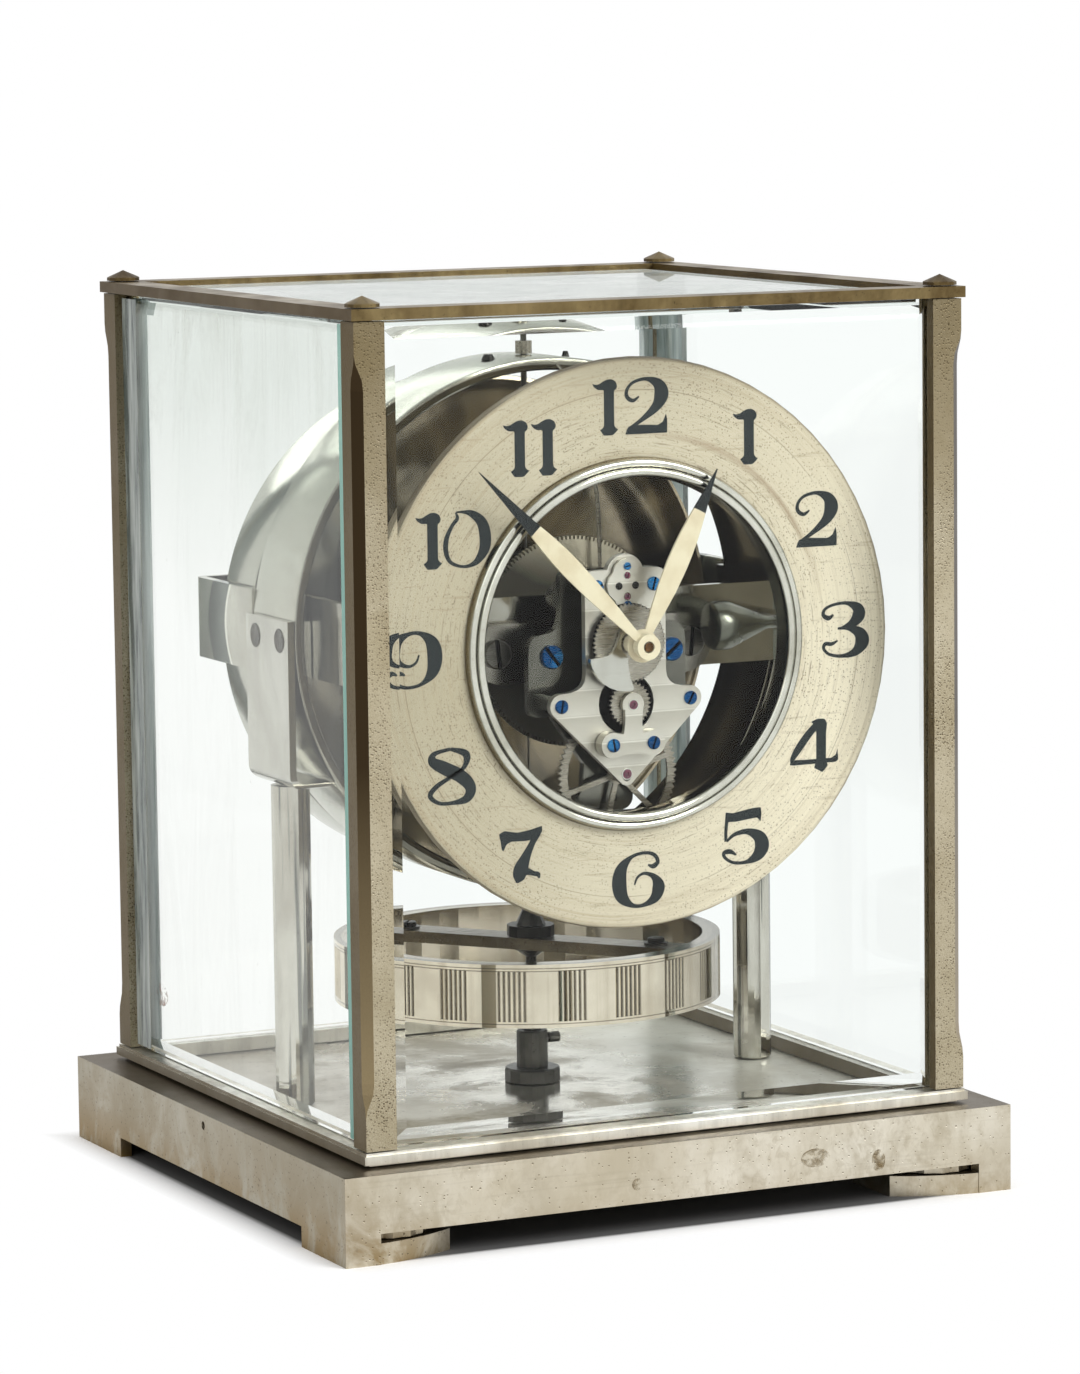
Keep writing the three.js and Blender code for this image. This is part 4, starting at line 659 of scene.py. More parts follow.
def bezel_nickel():
    """Polished beads with painted dark reflections on their flanks and down the inner wall, and a dark joint.
    """
    m = Finish("bezel_nickel")
    outer = half_width("bezel")
    radius = m.about(DIAL_CENTRE)["Radius"]
    inwards = m.minus(outer, radius)
    joint = m.span(m.gap(inwards, 2.5 * MM), 0.32 * MM, 0.1 * MM)
    flank = m.span(inwards, 0.75 * MM, 0.25 * MM)
    wall = m.span(inwards, 4.3 * MM, 4.75 * MM)
    smears = m.noise(m.place, 60, 4, 0.6)
    m.start(m.span(smears, 0.35, 0.7), (226, 224, 214), (190, 187, 174))
    # Painted dark reflections on the flanks and down the inner wall.
    m.coat(flank, (122, 112, 88))
    m.coat(wall, (96, 94, 82), 0.85)
    m.coat(joint, (70, 67, 56), 0.5)
    return m.done(m.span(smears, 0.3, 0.7, 0.06, 0.14))


def pillar_nickel():
    """Polished pillars whose sides show dark upright streaks."""
    m = Finish("pillar_nickel")
    streaks = m.noise(m.stretched(1, 1, 0.02), 330, 3, 0.6)
    smears = m.noise(m.stretched(1, 1, 0.4), 60, 4, 0.6)
    m.start(m.span(smears, 0.35, 0.7), (208, 206, 196), (172, 168, 156))
    m.coat(m.span(streaks, 0.54, 0.6, 0, 0.8), (88, 92, 86))
    m.bump(smears, 0.002 * MM)
    return m.done(m.span(smears, 0.3, 0.7, 0.05, 0.14))


def rear_bridge_nickel():
    """Polished strap with a painted dark upright reflection held on its left side, edged by a painted light
    line.
    """
    m = Finish("rear_bridge_nickel")
    parts = m.split(m.place)
    smears = m.noise(m.stretched(1, 1, 0.5), 50, 5, 0.6, 0.6)
    lines = m.lines(120, 2400)
    bow = m.minus(parts[2], middle("rear_bridge").z)
    bow = m.plus(parts[1], m.times(m.times(bow, bow), 34))
    band = m.times(m.span(bow, 31.6 * MM, 32.6 * MM), m.span(bow, 43.6 * MM, 42.4 * MM))
    edge = m.span(m.gap(bow, 31.4 * MM), 0.9 * MM, 0.3 * MM)
    dark = m.blend(m.span(lines, 0.56, 0.7), (92, 100, 94), (176, 180, 170))
    m.start(m.span(smears, 0.35, 0.7), (200, 199, 188), (170, 168, 156))
    # Painted highlight: a light line along the edge of the painted reflection.
    m.coat(edge, (226, 226, 216))
    m.coat(band, dark)
    m.bump(lines, 0.002 * MM)
    return m.done(m.span(smears, 0.3, 0.7, 0.12, 0.24))


def hoop_nickel():
    """Satin band with a polished rim and bore."""
    m = Finish("hoop_nickel")
    radius = m.about(DIAL_CENTRE)["Radius"]
    outer = half_width("hoop", 2)
    inside = m.span(m.minus(outer, radius), 0.15 * MM, 0.6 * MM)
    smears = m.noise(m.stretched(1, 0.5, 1), 40, 5, 0.6, 0.6)
    band = m.blend(m.span(smears, 0.35, 0.7), (204, 204, 194), (182, 181, 169))
    bore = m.blend(m.span(smears, 0.35, 0.7), (150, 146, 132), (96, 94, 84))
    m.set(Base_Color=m.blend(inside, band, bore))
    m.set(Roughness=m.span(inside, 0, 1, 0.22, 0.08))
    m.bump(smears, 0.002 * MM)
    return m.material


def plinth_stain():
    """Soft brown marks on the plinth, faint towards their edges."""
    m = Finish("plinth_stain", rough=0.55, metal=0.6)
    blot = m.noise(m.place, 330, 4, 0.6, 0.5)
    m.set(Base_Color=m.blend(m.span(blot, 0.4, 0.65), (176, 160, 126), (140, 120, 84)))
    m.set(Alpha=m.span(blot, 0.42, 0.7, 0, 0.55))
    return m.material


def stain():
    """Rust-brown marks left on the glass."""
    m = Finish("glass_stain", rough=0.9, metal=0)
    blot = m.noise(m.place, 520, 4, 0.65, 0.8)
    m.set(Base_Color=m.blend(m.span(blot, 0.45, 0.6), (196, 150, 110), (150, 92, 52)))
    m.set(Alpha=m.span(blot, 0.5, 0.64, 0, 0.75))
    return m.material


WORN_NICKEL = worn_nickel()
# The fifth colour of each pitted finish is the painted shade of its side faces.
TOP_BRASS = pitted("olive_brass", (138, 121, 84), (82, 67, 42), (38, 30, 18), (68, 52, 22), 0.3, 0.36, 60)
PEWTER = post_pewter()
RAIL = pitted("pewter_rail", (245, 244, 235), (206, 201, 186), (86, 76, 58), (92, 78, 52), 0.22, 0.34)
BRIGHT = polished("bright_nickel", (214, 213, 206), (178, 176, 166), 0.04, 0.12)
# Lighter finish for softened plate edges: a painted highlight.
EDGE_HIGHLIGHT_NICKEL = polished("edge_highlight_nickel", (232, 229, 218), (196, 192, 180), 0.16, 0.3)
BRACKET = polished("bracket_nickel", (206, 205, 197), (176, 174, 163), 0.12, 0.24, hairlines=0.2)
BAR_NICKEL = polished("bar_nickel", (150, 147, 138), (112, 109, 100), 0.12, 0.26)
BACK_NICKEL = polished("back_nickel", (120, 119, 110), (74, 74, 68), 0.16, 0.28)
STRAP_NICKEL = polished("strap_nickel", (172, 170, 160), (128, 125, 114), 0.06, 0.18)
REAR_STRAP = rear_bridge_nickel()
PILLAR = pillar_nickel()
PLATE_NICKEL = banded_plate()
DIAL = dial_silver()
BALANCE = balance_nickel()
GLASS = plate_glass("plate_glass", tint(252, 254, 253), 1.2)
TOP_GLASS = plate_glass("top_glass", tint(246, 250, 248), 1.45)
SIDE_GLASS = plate_glass("side_glass", tint(253, 254, 252), 1.2, tint(228, 233, 228))
# Veils that paint the panes' ends and bevels as refraction shows them.
EDGE_GREEN = glass_edge("glass_edge_green", (138, 188, 174), (106, 158, 146), 60, 0.85)
EDGE_GREY = glass_edge("glass_edge_grey", (186, 192, 186), (76, 88, 86), 260, 0.7)
CORNER_GREEN = glass_edge("glass_corner", (206, 218, 216), (104, 122, 120), 170, 0.78)
TOP_DUST = dust("top_dust", tint(204, 210, 206), 0.24)
PANE_FILM = pane_film()
BLUED = blued_steel()
RUBY = ruby()
RATCHET = ratchet_steel()
WHEEL_NICKEL = dark_metal("wheel_nickel", (164, 159, 147), (132, 127, 113), 0.28)
DARK_STEEL = dark_metal("dark_steel", (92, 91, 86), (62, 61, 58), 0.32)
BLACK_STEEL = dark_metal("black_steel", (58, 57, 54), (36, 35, 33), 0.36)
GREY_SCREW = dark_metal("grey_screw", (104, 102, 95), (74, 72, 66), 0.3)
CROSSBAR = dark_metal("crossbar_metal", (128, 120, 104), (92, 85, 71), 0.3, 60)
STOP_GREY = polished("stop_grey", (126, 126, 114), (80, 84, 76), 0.2, 0.32)
BORE_SHADE_BRONZE = dark_metal("bore_shade_bronze", (120, 84, 48), (40, 32, 26), 0.4, 900)
INK = numeral_ink()
DRUM = drum_nickel()
STAIN = stain()
PLINTH_STAIN = plinth_stain()
BEZEL = bezel_nickel()
HOOP_NICKEL = hoop_nickel()
# Near-black for painted shade: screw slots, wheel gaps and the small wheel's opening.
SLOT_SHADE = dark_metal("slot_shadow", (22, 22, 22), (12, 12, 12), 0.7)
NODE_FINISHES = {
    name: material
    for material, names in (
        (WORN_NICKEL, "plinth levelling_wheel_"),
        (PEWTER, "case_post_"),
        (TOP_BRASS, "case_nut_ case_top_frame"),
        (RAIL, "case_bottom_frame"),
        (GLASS, "pane_"),
        (TOP_GLASS, "pane_top"),
        (SIDE_GLASS, "pane_left"),
        (PILLAR, "pillar_"),
        (BRACKET, "bracket_ clamp_block_ motion_cock"),
        (BRIGHT, "hoop bezel dial_post_"),
        (STRAP_NICKEL, "front_bridge"),
        (REAR_STRAP, "rear_bridge"),
        (BAR_NICKEL, "mounting_bar drum_yoke stop_buffer"),
        (BACK_NICKEL, "back_plate"),
        (PLATE_NICKEL, "front_plate upper_cock lower_bridge"),
        (DARK_STEEL, "spring_housing lock_ pallet_lever"),
        (RATCHET, "ratchet_wheel"),
        (WHEEL_NICKEL, "detent_spring centre_wheel small_wheel crossed_wheel suspension_nut"),
        (DRUM, "drum_"),
        (DIAL, "dial_ring"),
        (hand_finish("hour_hand_fill", 36.7 * MM), "hour_hand"),
        (hand_finish("minute_hand_fill", 42.6 * MM), "minute_hand"),
        (BALANCE, "balance_ring"),
        (CROSSBAR, "balance_crossbar"),
        (BLACK_STEEL, "balance_hub"),
        (GREY_SCREW, "suspension_"),
    )
    for name in names.split()
}

# Edge softening in millimetres for the solids whose corners catch the light
SOFT_EDGES = {
    name: width
    for width, names in (
        (0.5, "plinth back_plate"),
        (0.35, "case_top_frame"),
        (0.3, "case_post_ case_bottom_frame bracket_ rear_bridge mounting_bar front_plate"),
        (0.25, "front_bridge upper_cock lower_bridge balance_crossbar hoop"),
        (0.2, "motion_cock lock_post"),
        (0.15, "dial_ring case_nut_"),
        (0.12, "balance_ring"),
    )
    for name in names.split()
}

# Plates whose softened edges take a lighter finish than their faces: a painted highlight along the edges
BRIGHT_EDGES = "back_plate front_plate upper_cock lower_bridge mounting_bar front_bridge rear_bridge".split()
SHARP_ANGLE, PANE_SHARP_ANGLE, SOFT_EDGE_ANGLE = 32, 5, 40  # degrees


def by_prefix(table, name):
    """The table's value for a node: its own name first, then the longest prefix."""
    fits = [key for key in table if name == key or (key.endswith("_") and name.startswith(key))]
    return table[max(fits, key=len)] if fits else None


def smooth(piece, degrees):
    piece.data.shade_smooth()
    piece.data.set_sharp_from_angle(angle=radians(degrees))


def soften(name, node, width):
    bevel = node.modifiers.new("soft_edges", "BEVEL")
    bevel.width, bevel.segments = width * MM, 2
    bevel.limit_method, bevel.angle_limit = "ANGLE", radians(SOFT_EDGE_ANGLE)
    bevel.harden_normals = True
    if name in BRIGHT_EDGES:
        node.data.materials.append(EDGE_HIGHLIGHT_NICKEL)
        bevel.material = 1


for name, node in nodes.items():
    node.data.materials.clear()
    node.data.materials.append(by_prefix(NODE_FINISHES, name))
    smooth(node, PANE_SHARP_ANGLE if name.startswith("pane_") else SHARP_ANGLE)
    if by_prefix(SOFT_EDGES, name):
        soften(name, node, by_prefix(SOFT_EDGES, name))


# Making pieces


def mesh_object(name, mesh, material):
    data = bpy.data.meshes.new(name)
    mesh.to_mesh(data)
    mesh.free()
    made = bpy.data.objects.new(name, data)
    scene.collection.objects.link(made)
    data.materials.append(material)
    return made


def piece_from(name, mesh, material, body, sharp=SHARP_ANGLE, replaced=None):
    mesh.normal_update()
    made = mesh_object(name, mesh, material)
    smooth(made, sharp)
    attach(made, body)
    if replaced:
        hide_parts(replaced)


def axes_about(direction):
    """A matrix whose Z is the direction, and whose X lies level where it can."""
    z = Vector(direction).normalized()
    x = (UP if abs(z.z) < 0.9 else RIGHT).cross(z).normalized()
    return Matrix((x, z.cross(x), z)).transposed().to_4x4()


def put(mesh, place, direction, first=Matrix.Identity(4)):
    """Moves a mesh made about Z to a place, looking along a direction."""
    mesh.transform(Matrix.Translation(place) @ axes_about(direction) @ first)


def circle(radius, count, wide=1, tall=1):
    turns = [2 * pi * k / count for k in range(count)]
    return [(wide * radius * cos(t), tall * radius * sin(t)) for t in turns]


def rectangle(x, y, far_x, far_y):
    return [(x, y), (far_x, y), (far_x, far_y), (x, far_y)]


def ring_of(mesh, outline, level):
    return [mesh.verts.new((x, y, level)) for x, y in outline]


def face_outwards(mesh):
    bmesh.ops.recalc_face_normals(mesh, faces=mesh.faces)


def spin_profile(mesh, profile, segments):
    """Adds a turned solid about Z: a profile of (radius, height) that starts and ends on the axis."""
    rings = [ring_of(mesh, circle(radius, segments if radius else 1), height) for radius, height in profile]
    for low, high in zip(rings, rings[1:]):
        for k in range(segments):
            a, b = low[k % len(low)], low[(k + 1) % len(low)]
            d, c = high[k % len(high)], high[(k + 1) % len(high)]
            corners = list(dict.fromkeys((a, b, c, d)))
            if len(corners) > 2:
                mesh.faces.new(corners)
    face_outwards(mesh)


def join_rings(mesh, rings):
    """Joins each ring of points to the next one, and the last to the first."""
    for low, high in zip(rings, rings[1:] + rings[:1]):
        for k in range(len(low)):
            n = (k + 1) % len(low)
            mesh.faces.new((low[k], low[n], high[n], high[k]))
    face_outwards(mesh)


def prism(mesh, outline, low, high):
    """Adds a prism over a flat outline in the XY plane."""
    bottom, top = ring_of(mesh, outline, low), ring_of(mesh, outline, high)
    mesh.faces.new(bottom[::-1])
    mesh.faces.new(top)
    for k in range(len(outline)):
        n = (k + 1) % len(outline)
        mesh.faces.new((bottom[k], bottom[n], top[n], top[k]))
    face_outwards(mesh)


def in_mm(points):
    return [(x * MM, y * MM) for x, y in points]


def turned_piece(name, profile, place, direction, material, body, segments=40):
    mesh = bmesh.new()
    spin_profile(mesh, profile, segments)
    put(mesh, place, direction)
    piece_from(name, mesh, material, body)


def slotted_screw(name, place, direction, radius, height, turn, material, body):
    """Round screw head with a straight slot, its rim chamfered."""
    mesh = bmesh.new()
    half, floor, edge, steps = 0.16 * radius, 0.45 * height, 0.1 * radius, 14
    turned = Matrix.Rotation(radians(turn), 4, "Z")
    spin_profile(mesh, [(0, 0), (radius, 0), (radius, floor), (0, floor)], 36)
    for side in (1, -1):
        rows = []
        for reach, level in ((radius, floor * 0.9), (radius, height - edge), (radius - edge, height)):
            start = asin(half / reach)
            arc = [start + (pi - 2 * start) * k / steps for k in range(steps + 1)]
            rows.append(ring_of(mesh, [(reach * cos(a), side * reach * sin(a)) for a in arc], level))
        for low, high in zip(rows, rows[1:]):
            for k in range(steps):
                mesh.faces.new((low[k], low[k + 1], high[k + 1], high[k]))
            mesh.faces.new((low[0], high[0], high[steps], low[steps]))
        mesh.faces.new(rows[-1])
        mesh.faces.new(rows[0])
    face_outwards(mesh)
    put(mesh, place, direction, turned)
    piece_from(name, mesh, material, body)
    # A dark sheet on the slot's floor: painted shade in the slot.
    line = bmesh.new()
    reach, width = radius * 0.97, half * 0.98
    prism(line, rectangle(-reach, -width, reach, width), 0, 0.02 * height)
    put(line, Vector(place) + Vector(direction).normalized() * floor * 1.02, direction, turned)
    piece_from(name + "_slot_shade", line, SLOT_SHADE, body)


def flat_ring(name, inner, outer, height, place, material, body, slot="dark_steel", segments=72):
    """Thin washer that faces forward."""
    mesh = bmesh.new()
    corners = ((inner, 0), (outer, 0), (outer, height), (inner, height))
    join_rings(mesh, [ring_of(mesh, circle(radius, segments), level) for radius, level in corners])
    put(mesh, place, FRONT)
    piece_from(name, mesh, material, body)


JEWEL_PROFILE = ((0, 0), (1, 0), (1, 0.16), (0.42, 0.3), (0.3, 0.05), (0, 0.05))


def jewel(name, place, radius):
    """Pierced ruby in a turned sink with a thin polished setting."""
    profile = [(x * radius, y * radius) for x, y in JEWEL_PROFILE]
    turned_piece(name, profile, place, FRONT, RUBY, "base", segments=28)
    sizes = radius * 1.02, radius * 1.22, 0.14 * radius
    flat_ring(name + "_setting", *sizes, place, BRIGHT, "base", "bright_nickel", 28)


def at(x, z, y):
    """A point given in millimetres across and up, on a plane given in metres."""
    return Vector((x * MM, y, z * MM))


# Movement screws and jewels: name, across, up, plane, radius, and for screws height, slot's turn and metal

SCREWS = (
    ("arm_screw_left", -18, 127.9, PLATE_FRONT, 1.75, 0.55, 80, BLUED),
    ("arm_screw_right", 18, 127.9, PLATE_FRONT, 1.75, 0.55, 62, BLUED),
    ("head_screw_right", 7.9, 157.3, PLATE_FRONT, 1.75, 0.55, 75, BLUED),
    ("head_screw_left", -7.9, 157.3, PLATE_FRONT, 1.75, 0.55, 20, BLUED),
    ("bridge_screw_left", -5.6, 117.8, BRIDGE_FRONT, 1.7, 0.55, 100, BLUED),
    ("bridge_screw_right", 5.6, 117.8, BRIDGE_FRONT, 1.7, 0.55, 72, BLUED),
    ("cock_screw_top", 0, 162.2, COCK_FRONT, 0.95, 0.55, 15, BLUED),
    ("cock_screw_low", 0, 152.6, COCK_FRONT, 0.95, 0.55, 80, BLUED),
    ("bar_pillar_screw_left", -16.8, 139.5, BACK_PLATE_FRONT, 3, 1.1, 128, BLUED),
    ("bar_pillar_screw_right", 16.8, 139.5, BACK_PLATE_FRONT, 3, 1.1, 40, BLUED),
    ("bar_screw_left", -27.2, 139.8, BAR_FRONT, 3.75, 1.3, 96, GREY_SCREW),
    ("bar_screw_right", 27.2, 139.8, BAR_FRONT, 3.75, 1.3, 84, GREY_SCREW),
)
JEWELS = (
    ("jewel_upper", 0, 159.9, COCK_FRONT, 0.85),
    ("jewel_lower", 0, 154.6, COCK_FRONT, 0.85),
    ("jewel_small_wheel", 0, 127.7, BRIDGE_FRONT, 1.15),
    ("jewel_foot", 0, 109.8, PLATE_FRONT, 1.2),
)
PIN_PROFILE = in_mm([(0, 0), (0.95, 0), (0.95, 0.1), (0.7, 0.18), (0, 0.18)])

for name, x, z, y, radius, height, turn, metal in SCREWS:
    slotted_screw(name, at(x, z, y), FRONT, radius * MM, height * MM, turn, metal, "base")
for name, x, z, y, radius in JEWELS:
    jewel(name, at(x, z, y), radius * MM)
for hand, x in (("left", -2.3), ("right", 2.3)):
    place = at(x, 157.3, COCK_FRONT)
    turned_piece("cock_pin_" + hand, PIN_PROFILE, place, FRONT, BLACK_STEEL, "base", segments=24)

# Finer pieces in place of nodes, and small marks on the movement

RATCHET_TEETH, RATCHET_TOOTH = 146, 0.95 * MM
RATCHET_SHEET_FRONT, RATCHET_SHEET_BACK = -26.6 * MM, -26.6 * MM + 1.6 * MM
RATCHET_COLLAR, RATCHET_ARBOR = 4.3 * MM, 2 * MM
STOP_SHOULDER, STOP_NECK, STOP_ROD = 5 * MM, 16.5 * MM, 1.6 * MM
WHEEL_DEPTH = 3.75 * MM  # from the dial's front to the backs of the wheels
WIRE_THICKENING = 0.22 * MM


def fine_ratchet():
    """The winding wheel with its many square teeth, on the same collar and arbor as the solid."""
    centre, radius = middle("ratchet_wheel"), half_width("ratchet_wheel")
    front, back = face("ratchet_wheel", 1, 0), face("ratchet_wheel", 1, 1)
    root = radius - RATCHET_TOOTH
    outline = []
    for k in range(RATCHET_TEETH):
        for share, reach in ((0, radius), (0.5, radius), (0.56, root), (0.94, root)):
            angle = 2 * pi * (k + share) / RATCHET_TEETH
            outline.append((reach * cos(angle), reach * sin(angle)))
    mesh = bmesh.new()
    prism(mesh, outline, -RATCHET_SHEET_BACK, -RATCHET_SHEET_FRONT)
    for radius, low, high, segments in ((RATCHET_COLLAR, back, RATCHET_SHEET_BACK, 24),
                                        (RATCHET_ARBOR, RATCHET_SHEET_FRONT, front, 20)):
        spin_profile(mesh, [(0, -low), (radius, -low), (radius, -high), (0, -high)], segments)
    put(mesh, (centre.x, 0, centre.z), FRONT)
    piece_from("ratchet_fine", mesh, RATCHET, "winding", replaced="ratchet_wheel")


def stop_cone():
    """Smooth stop with its blunt cone and rod."""
    low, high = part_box("stop_buffer")
    centre, radius, length = middle("stop_buffer"), half_width("stop_buffer", 2), high.x - low.x
    profile = [(0, 0), (radius - 1.6 * MM, 0), (radius - 0.4 * MM, 0.7 * MM), (radius, 2 * MM),
               (radius, STOP_SHOULDER), (STOP_ROD, STOP_NECK), (STOP_ROD, length), (0, length)]
    mesh = bmesh.new()
    spin_profile(mesh, profile, 64)
    put(mesh, (low.x, centre.y, centre.z), RIGHT)
    piece_from("stop_turned", mesh, STOP_GREY, "base", replaced="stop_buffer")


def shade(name, node, y, inner, outer, body):
    centre = middle(node)
    flat_ring(name, inner, outer, 0.04 * MM, (centre.x, y, centre.z), SLOT_SHADE, body)


def wheel_shades():
    """Painted shade: dark rings for the shade between the wheels' teeth and in the opening round the small
    wheel.
    """
    for node, body in (("centre_wheel", "minute"), ("small_wheel", "small")):
        radius = half_width(node)
        shade(node + "_gap_shade", node, DIAL_FRONT + WHEEL_DEPTH, radius - 0.95 * MM, radius - 0.1 * MM, body)
    shade("small_wheel_opening_shade", "small_wheel", PLATE_FRONT - 0.02 * MM, 5 * MM, 7.4 * MM, "base")


def detent_wire():
    """The CAD's thin detent wire and its stud, a little fuller and smooth."""
    mesh = bmesh.new()
    mesh.from_mesh(nodes["detent_spring"].data)
    mesh.normal_update()
    for vert in mesh.verts:
        vert.co += vert.normal * WIRE_THICKENING
    piece_from("detent_wire", mesh, WHEEL_NICKEL, "base", 60, "detent_spring")


def turned_about(name, profile, centre, material, body, node, sharp=SHARP_ANGLE):
    """Ring turned about an axis along Y: profile is (radius, y), and the piece takes the node's place."""
    mesh = bmesh.new()
    rings = [[mesh.verts.new((centre.x + across, y, centre.z + up)) for across, up in circle(radius, 192)]
             for radius, y in profile]
    join_rings(mesh, rings)
    piece_from(name, mesh, material, body, sharp, node)


def bead(radius, y, size):
    """Half a circle that bulges forward, from the bore outwards."""
    return [(radius + size * cos(a), y - size * sin(a)) for a in (pi * (1 - k / 8) for k in range(9))]


def turned_bezel():
    """Two rolled beads with a fine joint between them."""
    outer, front, back = half_width("bezel"), face("bezel", 1, 0), face("bezel", 1, 1)
    bore, joint, foot = outer - 5 * MM, outer - 2.5 * MM, DIAL_FRONT - 0.3 * MM
    spigot = 42.9 * MM * outer / (46.8 * MM)
    profile = [
        (bore, back), (bore, front + 2.4 * MM), *bead(joint - 1.1 * MM, front + 1.1 * MM, 1.1 * MM)[:-1],
        (joint, front + 1.5 * MM), *bead(joint + 1.05 * MM, front + 1.45 * MM, 1.05 * MM)[1:],
        (outer, foot), (spigot, foot), (spigot, back),
    ]
    turned_about("bezel_turned", profile, DIAL_CENTRE, BEZEL, "base", "bezel", 50)


def turned_hoop():
    outer = max(half_width("hoop"), half_width("hoop", 2))
    front, back = face("hoop", 1, 0), face("hoop", 1, 1)
    bore = outer - 3.4 * MM
    profile = [
        (bore, front + 1.6 * MM), (bore + 0.5 * MM, front + 1.1 * MM), (bore + 1 * MM, front + 1.1 * MM),
        (bore + 1.3 * MM, front), (outer - 0.9 * MM, front), (outer - 0.4 * MM, front + 0.2 * MM),
        (outer, front + 0.9 * MM), (outer, back - 0.4 * MM), (outer - 0.4 * MM, back), (bore, back),
    ]
    turned_about("hoop_turned", profile, middle("hoop"), HOOP_NICKEL, "base", "hoop")


def turned_drum():
    """Drum with a dished face between spun rings."""
    radius, front, back = half_width("drum_shell", 2), face("drum_shell", 1, 0), face("drum_shell", 1, 1)
    hub, arbor, dish, wall = 9 * MM, 2.5 * MM, 1.6 * MM, 1.5 * MM
    steps = [(radius * share, front + min(dish, dish * (0.45 + 0.55 * cos(pi * n))))
             for n, share in enumerate((0.3, 0.42, 0.54, 0.66, 0.78))]
    profile = [
        (arbor, front), (hub, front), *steps, (radius - 4.6 * MM, front + dish),
        (radius - 2.2 * MM, front + 0.3 * MM), (radius - 1.2 * MM, front),
        (radius - 0.3 * MM, front + 0.3 * MM), (radius, front + 1.2 * MM), (radius, back),
        (radius - wall, back), (radius - wall, front + dish + wall), (arbor, front + dish + wall),
    ]
    turned_about("drum_turned", profile, middle("drum_shell"), DRUM, "drum", "drum_shell")


fine_ratchet()
stop_cone()
wheel_shades()
# A dark disc over the hub's bore: painted shade in the hole, with a painted bronze glint.
turned_piece("hub_bore", in_mm([(0, 0), (1.15, 0), (1.15, 0.03), (0, 0.03)]),
             (DIAL_CENTRE.x, face("minute_hand", 1, 0), DIAL_CENTRE.z), FRONT, BORE_SHADE_BRONZE, "minute", segments=28)
detent_wire()
turned_hoop()
turned_drum()
turned_bezel()

# Ends, bevels, film and dust of the glass


def glass_ends(hand, side):
    """Ground ends of a side pane, painted as veils of what refraction shows there: green where it is seen
    edge on, grey and streaked at the back.
    """
    low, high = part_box("pane_" + hand)
    outer, lift = (low.x if side < 0 else high.x), side * 0.03 * MM
    front_post, back_post = face("case_post_front_" + hand, 1, 1), face("case_post_back_" + hand, 1, 0)
    for end, start, stop, material in (("front", front_post + 2.2 * MM, front_post + 6 * MM, EDGE_GREEN),
                                       ("back", back_post - 0.8 * MM, back_post - 10.5 * MM, EDGE_GREY)):
        mesh = bmesh.new()
        prism(mesh, rectangle(outer + lift, start, outer + 2 * lift, stop), low.z + 1 * MM, high.z - 1 * MM)
        piece_from(f"glass_end_{hand}_{end}", mesh, material, "case", 20)


def corner_bevel(hand, side):
    """The bevels of two panes where they meet at a back corner: a pale green veil inside the glass, painted
    for what refraction shows there.
    """
    y = face("pane_back", 1, 0) - 0.05 * MM
    bottom, top = face("pane_back", 2, 0) + 1 * MM, face("pane_back", 2, 1) - 1 * MM
    x = abs(face("pane_" + hand, 0, 0 if side > 0 else 1)) - 0.05 * MM
    path = [(x - 6 * MM, y), (x - 3 * MM, y), (x, y - 3.4 * MM), (x, y - 14 * MM)]
    path = [(side * across, deep) for across, deep in path]
    mesh = bmesh.new()
    low, high = ring_of(mesh, path, bottom), ring_of(mesh, path, top)
    for k in range(len(path) - 1):
        mesh.faces.new((low[k], low[k + 1], high[k + 1], high[k]))
    piece_from("corner_bevel_" + hand, mesh, CORNER_GREEN, "case", 10)


def pane_veils():
    """The film on the left pane and the dust on the top one."""
    low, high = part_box("pane_left")
    mesh = bmesh.new()
    bmesh.ops.create_grid(mesh, x_segments=1, y_segments=1, size=0.5)
    size = Matrix.Diagonal((high.y - low.y - 18 * MM, high.z - low.z - 4 * MM, 1, 1))
    put(mesh, (low.x - 0.02 * MM, (low.y + high.y) / 2, (low.z + high.z) / 2), -RIGHT, size)
    piece_from("film_on_left_pane", mesh, PANE_FILM, "case")
    low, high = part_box("pane_top")
    inset = 4.8 * MM
    outline = rectangle(low.x + inset, low.y + inset, high.x - inset, high.y - inset)
    mesh = bmesh.new()
    prism(mesh, outline, high.z + 0.03 * MM, high.z + 0.05 * MM)
    piece_from("dust_on_top", mesh, TOP_DUST, "case")


for make in (glass_ends, corner_bevel):
    make("left", -1)
    make("right", 1)
pane_veils()

# Dial numerals, drawn with strokes whose half widths swell and thin like a broad pen

